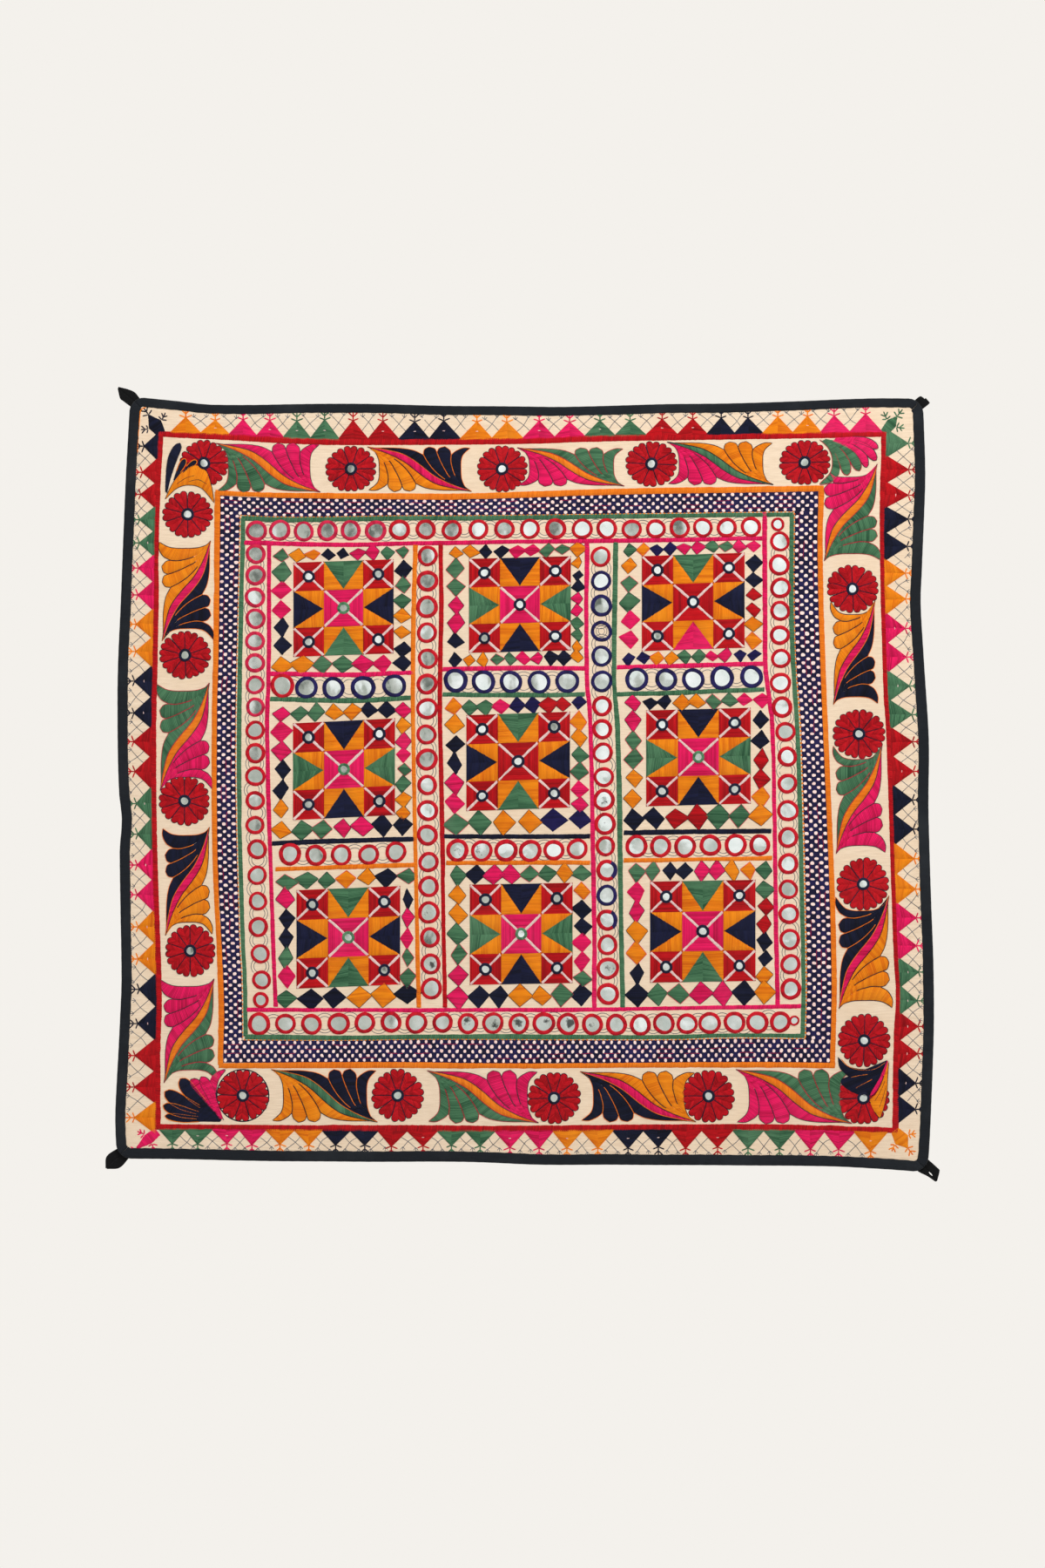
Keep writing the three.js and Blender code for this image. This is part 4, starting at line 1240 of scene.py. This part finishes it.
def shown(name, mesh, material):
    """A smooth piece of the part, with one material."""
    mesh.materials.append(material)
    mesh.polygons.foreach_set("use_smooth", np.ones(len(mesh.polygons), dtype=bool))
    mesh.update()
    piece = linked(name, mesh)
    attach(piece, "root")
    return piece


def mesh_from(name, sheet):
    """A mesh from a bmesh, which is freed."""
    mesh = bpy.data.meshes.new(name)
    sheet.to_mesh(mesh)
    sheet.free()
    return mesh


def add_map(mesh, name, spots):
    """A UV map from each vertex's spot."""
    corners = np.empty(len(mesh.loops), dtype=np.int32)
    mesh.loops.foreach_get("vertex_index", corners)
    layer = mesh.uv_layers.new(name=name)
    layer.data.foreach_set("uv", spots[corners].astype(np.float32).ravel())


def joined(name, spool, material):
    """One piece from all the stitches on a spool. Its map OFBake shows it from the front."""
    mesh = bpy.data.meshes.new(name)
    points = place(np.concatenate(spool.spots), np.concatenate(spool.lift))
    mesh.from_pydata(points.tolist(), [], np.concatenate(spool.quads).tolist())
    add_map(mesh, "Stitch", np.concatenate(spool.run))
    low, high = np.array(cad_box[0])[[0, 2]], np.array(cad_box[1])[[0, 2]]
    add_map(mesh, "OFBake", (points[:, [0, 2]] - low + MAP_MARGIN) / (high - low + 2 * MAP_MARGIN))
    mesh.attributes.new("tone", "FLOAT", "POINT").data.foreach_set("value", np.concatenate(spool.tone))
    return shown(name, mesh, material)


# Each thread's material takes its full dye, its colour of painted shade and its faded dye.
for letter, (name, slot, *dyes_and_shade) in DYES_AND_SHADES.items():
    spun = finish_from(name.replace("_", " "), floss, dyes_and_shade, 0.6, 0.0, 0.16)
    joined(name, spools[letter], spun)
joined("pen_lines", pen, pen_ink())
joined("mirrors", glass, silvered_glass())


def laid_grid(sheet, points):
    """Adds a grid to a bmesh, with its vertices at points, as (rows, columns, 3)."""
    rows, columns = points.shape[0] - 1, points.shape[1] - 1
    made = bmesh.ops.create_grid(sheet, x_segments=columns, y_segments=rows, size=1.0)["verts"]
    for vertex in made:
        row, column = round((vertex.co.y + 1) / 2 * rows), round((vertex.co.x + 1) / 2 * columns)
        vertex.co = Vector(points[row, column])
    return made


def ground_cloth():
    """The cloth, on the same folds as its solid."""
    u, v = (np.linspace(0, 1, steps) for steps in CLOTH_STEPS)
    top, bottom = inside_edge("top", u, CLOTH_INSET), inside_edge("bottom", u, CLOTH_INSET)
    left, right = inside_edge("left", v, CLOTH_INSET), inside_edge("right", v, CLOTH_INSET)
    u, v = u[None, :, None], v[:, None, None]
    spots = top * (1 - v) + bottom * v + left[:, None] * (1 - u) + right[:, None] * u
    corners = (1 - u) * (1 - v) * top[0] + u * (1 - v) * top[-1]
    spots -= corners + (1 - u) * v * bottom[0] + u * v * bottom[-1]
    sheet = bmesh.new()
    laid_grid(sheet, place(spots, np.zeros(spots.shape[:2]))[::-1])
    bmesh.ops.recalc_face_normals(sheet, faces=sheet.faces)
    if sum(face.normal.y for face in sheet.faces) > 0:
        bmesh.ops.reverse_faces(sheet, faces=sheet.faces)
    bmesh.ops.solidify(sheet, geom=sheet.faces[:], thickness=CLOTH_THICKNESS / 1000)
    return shown("ground_cloth", mesh_from("ground_cloth", sheet), ground_cotton)


def closed_strip(sheet, rings):
    """Adds a strip to a bmesh. rings are closed sections along it, as (rows, points, 3)."""
    made = laid_grid(sheet, np.concatenate([rings, rings[:, :1]], axis=1))
    bmesh.ops.remove_doubles(sheet, verts=made, dist=1e-7)
    rim = [edge for edge in sheet.edges if edge.is_boundary]
    bmesh.ops.holes_fill(sheet, edges=rim, sides=0)
    bmesh.ops.recalc_face_normals(sheet, faces=sheet.faces)


def binding(side):
    """A folded strip along one side, a little puckered by its seam."""
    even = np.linspace(0, 1, BINDING_STEPS)
    t = 0.75 * even + 0.25 * (0.5 - 0.5 * np.cos(math.pi * even))
    along = t * path_length(outer_edge(side, even))
    pucker = 0.22 * np.sin(along / 2.3 + 2 * np.sin(along / 31)) + 0.2 * np.sin(along / 17)
    rings = np.empty((len(t), len(FOLD), 3))
    for number, (depth, back) in enumerate(FOLD):
        wider = (depth > 5) * (BINDING_WIDTH[side] - FOLD_WIDTH)
        reach = depth + wider + (pucker if depth > 8 else 0.3 * pucker)
        spots = inside_edge(side, t, np.asarray(reach)[:, None])
        crimp = 0.12 * np.sin(along / 2.1 + 3 * np.sin(along / 23)) * (2 < depth < 9) * (abs(back) > 1.6)
        rings[:, number] = place(spots, -(back + crimp) - SHEET / 2)
    sheet = bmesh.new()
    closed_strip(sheet, rings)
    name = "folded_" + side
    return shown(name, mesh_from(name, sheet), binding_cotton)


def loop(name):
    """A corner loop: two legs of folded tape that meet at the tip."""
    root_x, root_y, angle, slit, side_a, side_b = LOOPS[name]
    turn = math.radians(angle)
    t = np.linspace(0, 1, 22)
    s = np.linspace(0, 1, 8)
    sheet = bmesh.new()
    for way, outside in ((-1, side_a), (1, side_b)):
        outside = walk(bend(outside, 6), t)
        gape = np.clip(1 - ((outside[:, 0] - SLIT_MIDDLE) / SLIT_REACH) ** 2, 0, 1)
        middle = pairs(outside[:, 0], way * (slit / 2 * gape - 0.15))
        middle[-1] = outside[-1, 0], -0.1 * way
        flat = outside[:, None] + (middle - outside)[:, None] * s[None, :, None]
        crown = np.sqrt(1 - (2 * s - 1) ** 4) * LOOP_THICKNESS / 2
        wrinkle = 0.12 * np.sin(outside[:, 0] * 1.1)[:, None]
        front, rear = np.maximum(crown + wrinkle, 0.05), np.maximum(crown - wrinkle, 0.05)
        section = np.concatenate([flat, flat[:, ::-1]], axis=1)
        depth = np.concatenate([-front, rear[:, ::-1]], axis=1)
        x = root_x + section[..., 0] * math.cos(turn) - section[..., 1] * math.sin(turn)
        y = root_y - section[..., 0] * math.sin(turn) - section[..., 1] * math.cos(turn)
        closed_strip(sheet, place(pairs(x, y), -(LOOP_DEPTH + LOOP_THICKNESS / 2 + depth) - SHEET / 2))
    return shown(name + "_tape", mesh_from(name + "_tape", sheet), loop_tape)


cloth = ground_cloth()
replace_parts(cloth, "panel")
for side in EDGES:
    folded = binding(side)
    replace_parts(folded, "binding_" + side)
    length = path_length(outer_edge(side, np.linspace(0, 1, 60))) / 1000
for name in LOOPS:
    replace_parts(loop(name), name)

# The room, metres: a pale floor, soft lights, cards behind the camera that the mirrors show, the camera.
MIDDLE = (0.0, 0.0, -0.433)
FLOOR_RADIUS = 1.4
FLOOR_LEVEL = -1.95
VIEW_DISTANCE = 5.0
VIEW_HEIGHT = 1.8
SENSOR = 36.0
PALE = dye(244, 241, 236)
# Columns: place, size, power, colour.
LIGHTS = {
    "key": ((1.3, -2.3, 1.7), 1.6, 94, (1.0, 0.98, 0.95)),
    "fill": ((-2.2, -2.6, 0.2), 1.8, 30, (0.97, 0.98, 1.0)),
    "back": ((0.8, 2.8, 0.6), 1.8, 45, (1.0, 0.99, 0.97)),
}
# Columns: place, width and height, shade.
CARDS = {
    "grey card": ((-1.55, -6.6, -0.433), (3.0, 5.0), (188, 190, 182)),
    "white card": ((1.45, -6.6, 0.75), (3.0, 2.5), (252, 254, 253)),
    "pale card": ((1.45, -6.6, -1.75), (3.0, 2.5), (204, 207, 202)),
    "dark card": ((-0.8, -6.5, 0.55), (0.3, 2.0), (104, 108, 101)),
    "dim card": ((-0.62, -6.55, 0.6), (0.6, 1.0), (112, 116, 110)),
}


def pale_floor():
    disc = bmesh.new()
    bmesh.ops.create_circle(disc, cap_ends=True, segments=96, radius=FLOOR_RADIUS)
    bmesh.ops.translate(disc, verts=disc.verts, vec=(0, 0, FLOOR_LEVEL))
    material, tree, shader = new_material("pale floor")
    cloud = noise(tree, place_in(tree), 3.0, 3.0)
    colour = blend_colours(tree, cloud, dye(236, 233, 228), PALE)
    wire(tree, shader, {"Base Color": colour, "Roughness": 0.9})
    mesh = mesh_from("floor", disc)
    mesh.materials.append(material)
    floor = linked("floor", mesh)


def soft_light(name, at, size, power, colour):
    lamp = bpy.data.lights.new(name, "AREA")
    lamp.shape = "RECTANGLE"
    lamp.size = lamp.size_y = size
    lamp.energy = power
    lamp.color = colour
    holder = linked(name, lamp)
    holder.location = at
    holder.rotation_euler = (Vector(MIDDLE) - Vector(at)).to_track_quat("-Z", "Y").to_euler()
    holder.visible_camera = False


def reflected_card(name, at, size, shade):
    board = bmesh.new()
    bmesh.ops.create_grid(board, x_segments=1, y_segments=1, size=0.5)
    for vertex in board.verts:
        vertex.co = Vector((at[0] + vertex.co.x * size[0], at[1], at[2] + vertex.co.y * size[1]))
    material, tree, shader = new_material(name)
    wire(tree, shader, {
        "Base Color": (0, 0, 0, 1), "Emission Color": dye(*shade), "Emission Strength": 1.0})
    mesh = mesh_from(name, board)
    mesh.materials.append(material)
    card = linked(name, mesh)
    card.visible_camera = False
    card.visible_diffuse = False


pale_floor()
for name, row in LIGHTS.items():
    soft_light(name, *row)
for name, row in CARDS.items():
    reflected_card(name, *row)

world = bpy.data.worlds.new("studio")
bpy.context.scene.world = world
world.use_nodes = True
sky = world.node_tree
lit = sky.nodes["Background"]
wire(sky, lit, {"Color": (0.9, 0.9, 0.9, 1), "Strength": 0.47})
seen = add(sky, "ShaderNodeBackground", {"Color": PALE, "Strength": 1.0})
look = add(sky, "ShaderNodeLightPath").outputs["Is Camera Ray"]
both = add(sky, "ShaderNodeMixShader", {0: look, 1: lit.outputs[0], 2: seen.outputs[0]})
wire(sky, sky.nodes["World Output"], {"Surface": both.outputs[0]})
bpy.context.scene.view_settings.view_transform = "Standard"

lens = bpy.data.cameras.new("camera")
lens.sensor_fit = "VERTICAL"
lens.sensor_height = SENSOR
lens.lens = SENSOR * VIEW_DISTANCE / VIEW_HEIGHT
camera = linked("camera", lens)
camera.location = (0.0, -VIEW_DISTANCE, MIDDLE[2])
camera.rotation_euler = (math.pi / 2, 0, 0)
bpy.context.scene.camera = camera
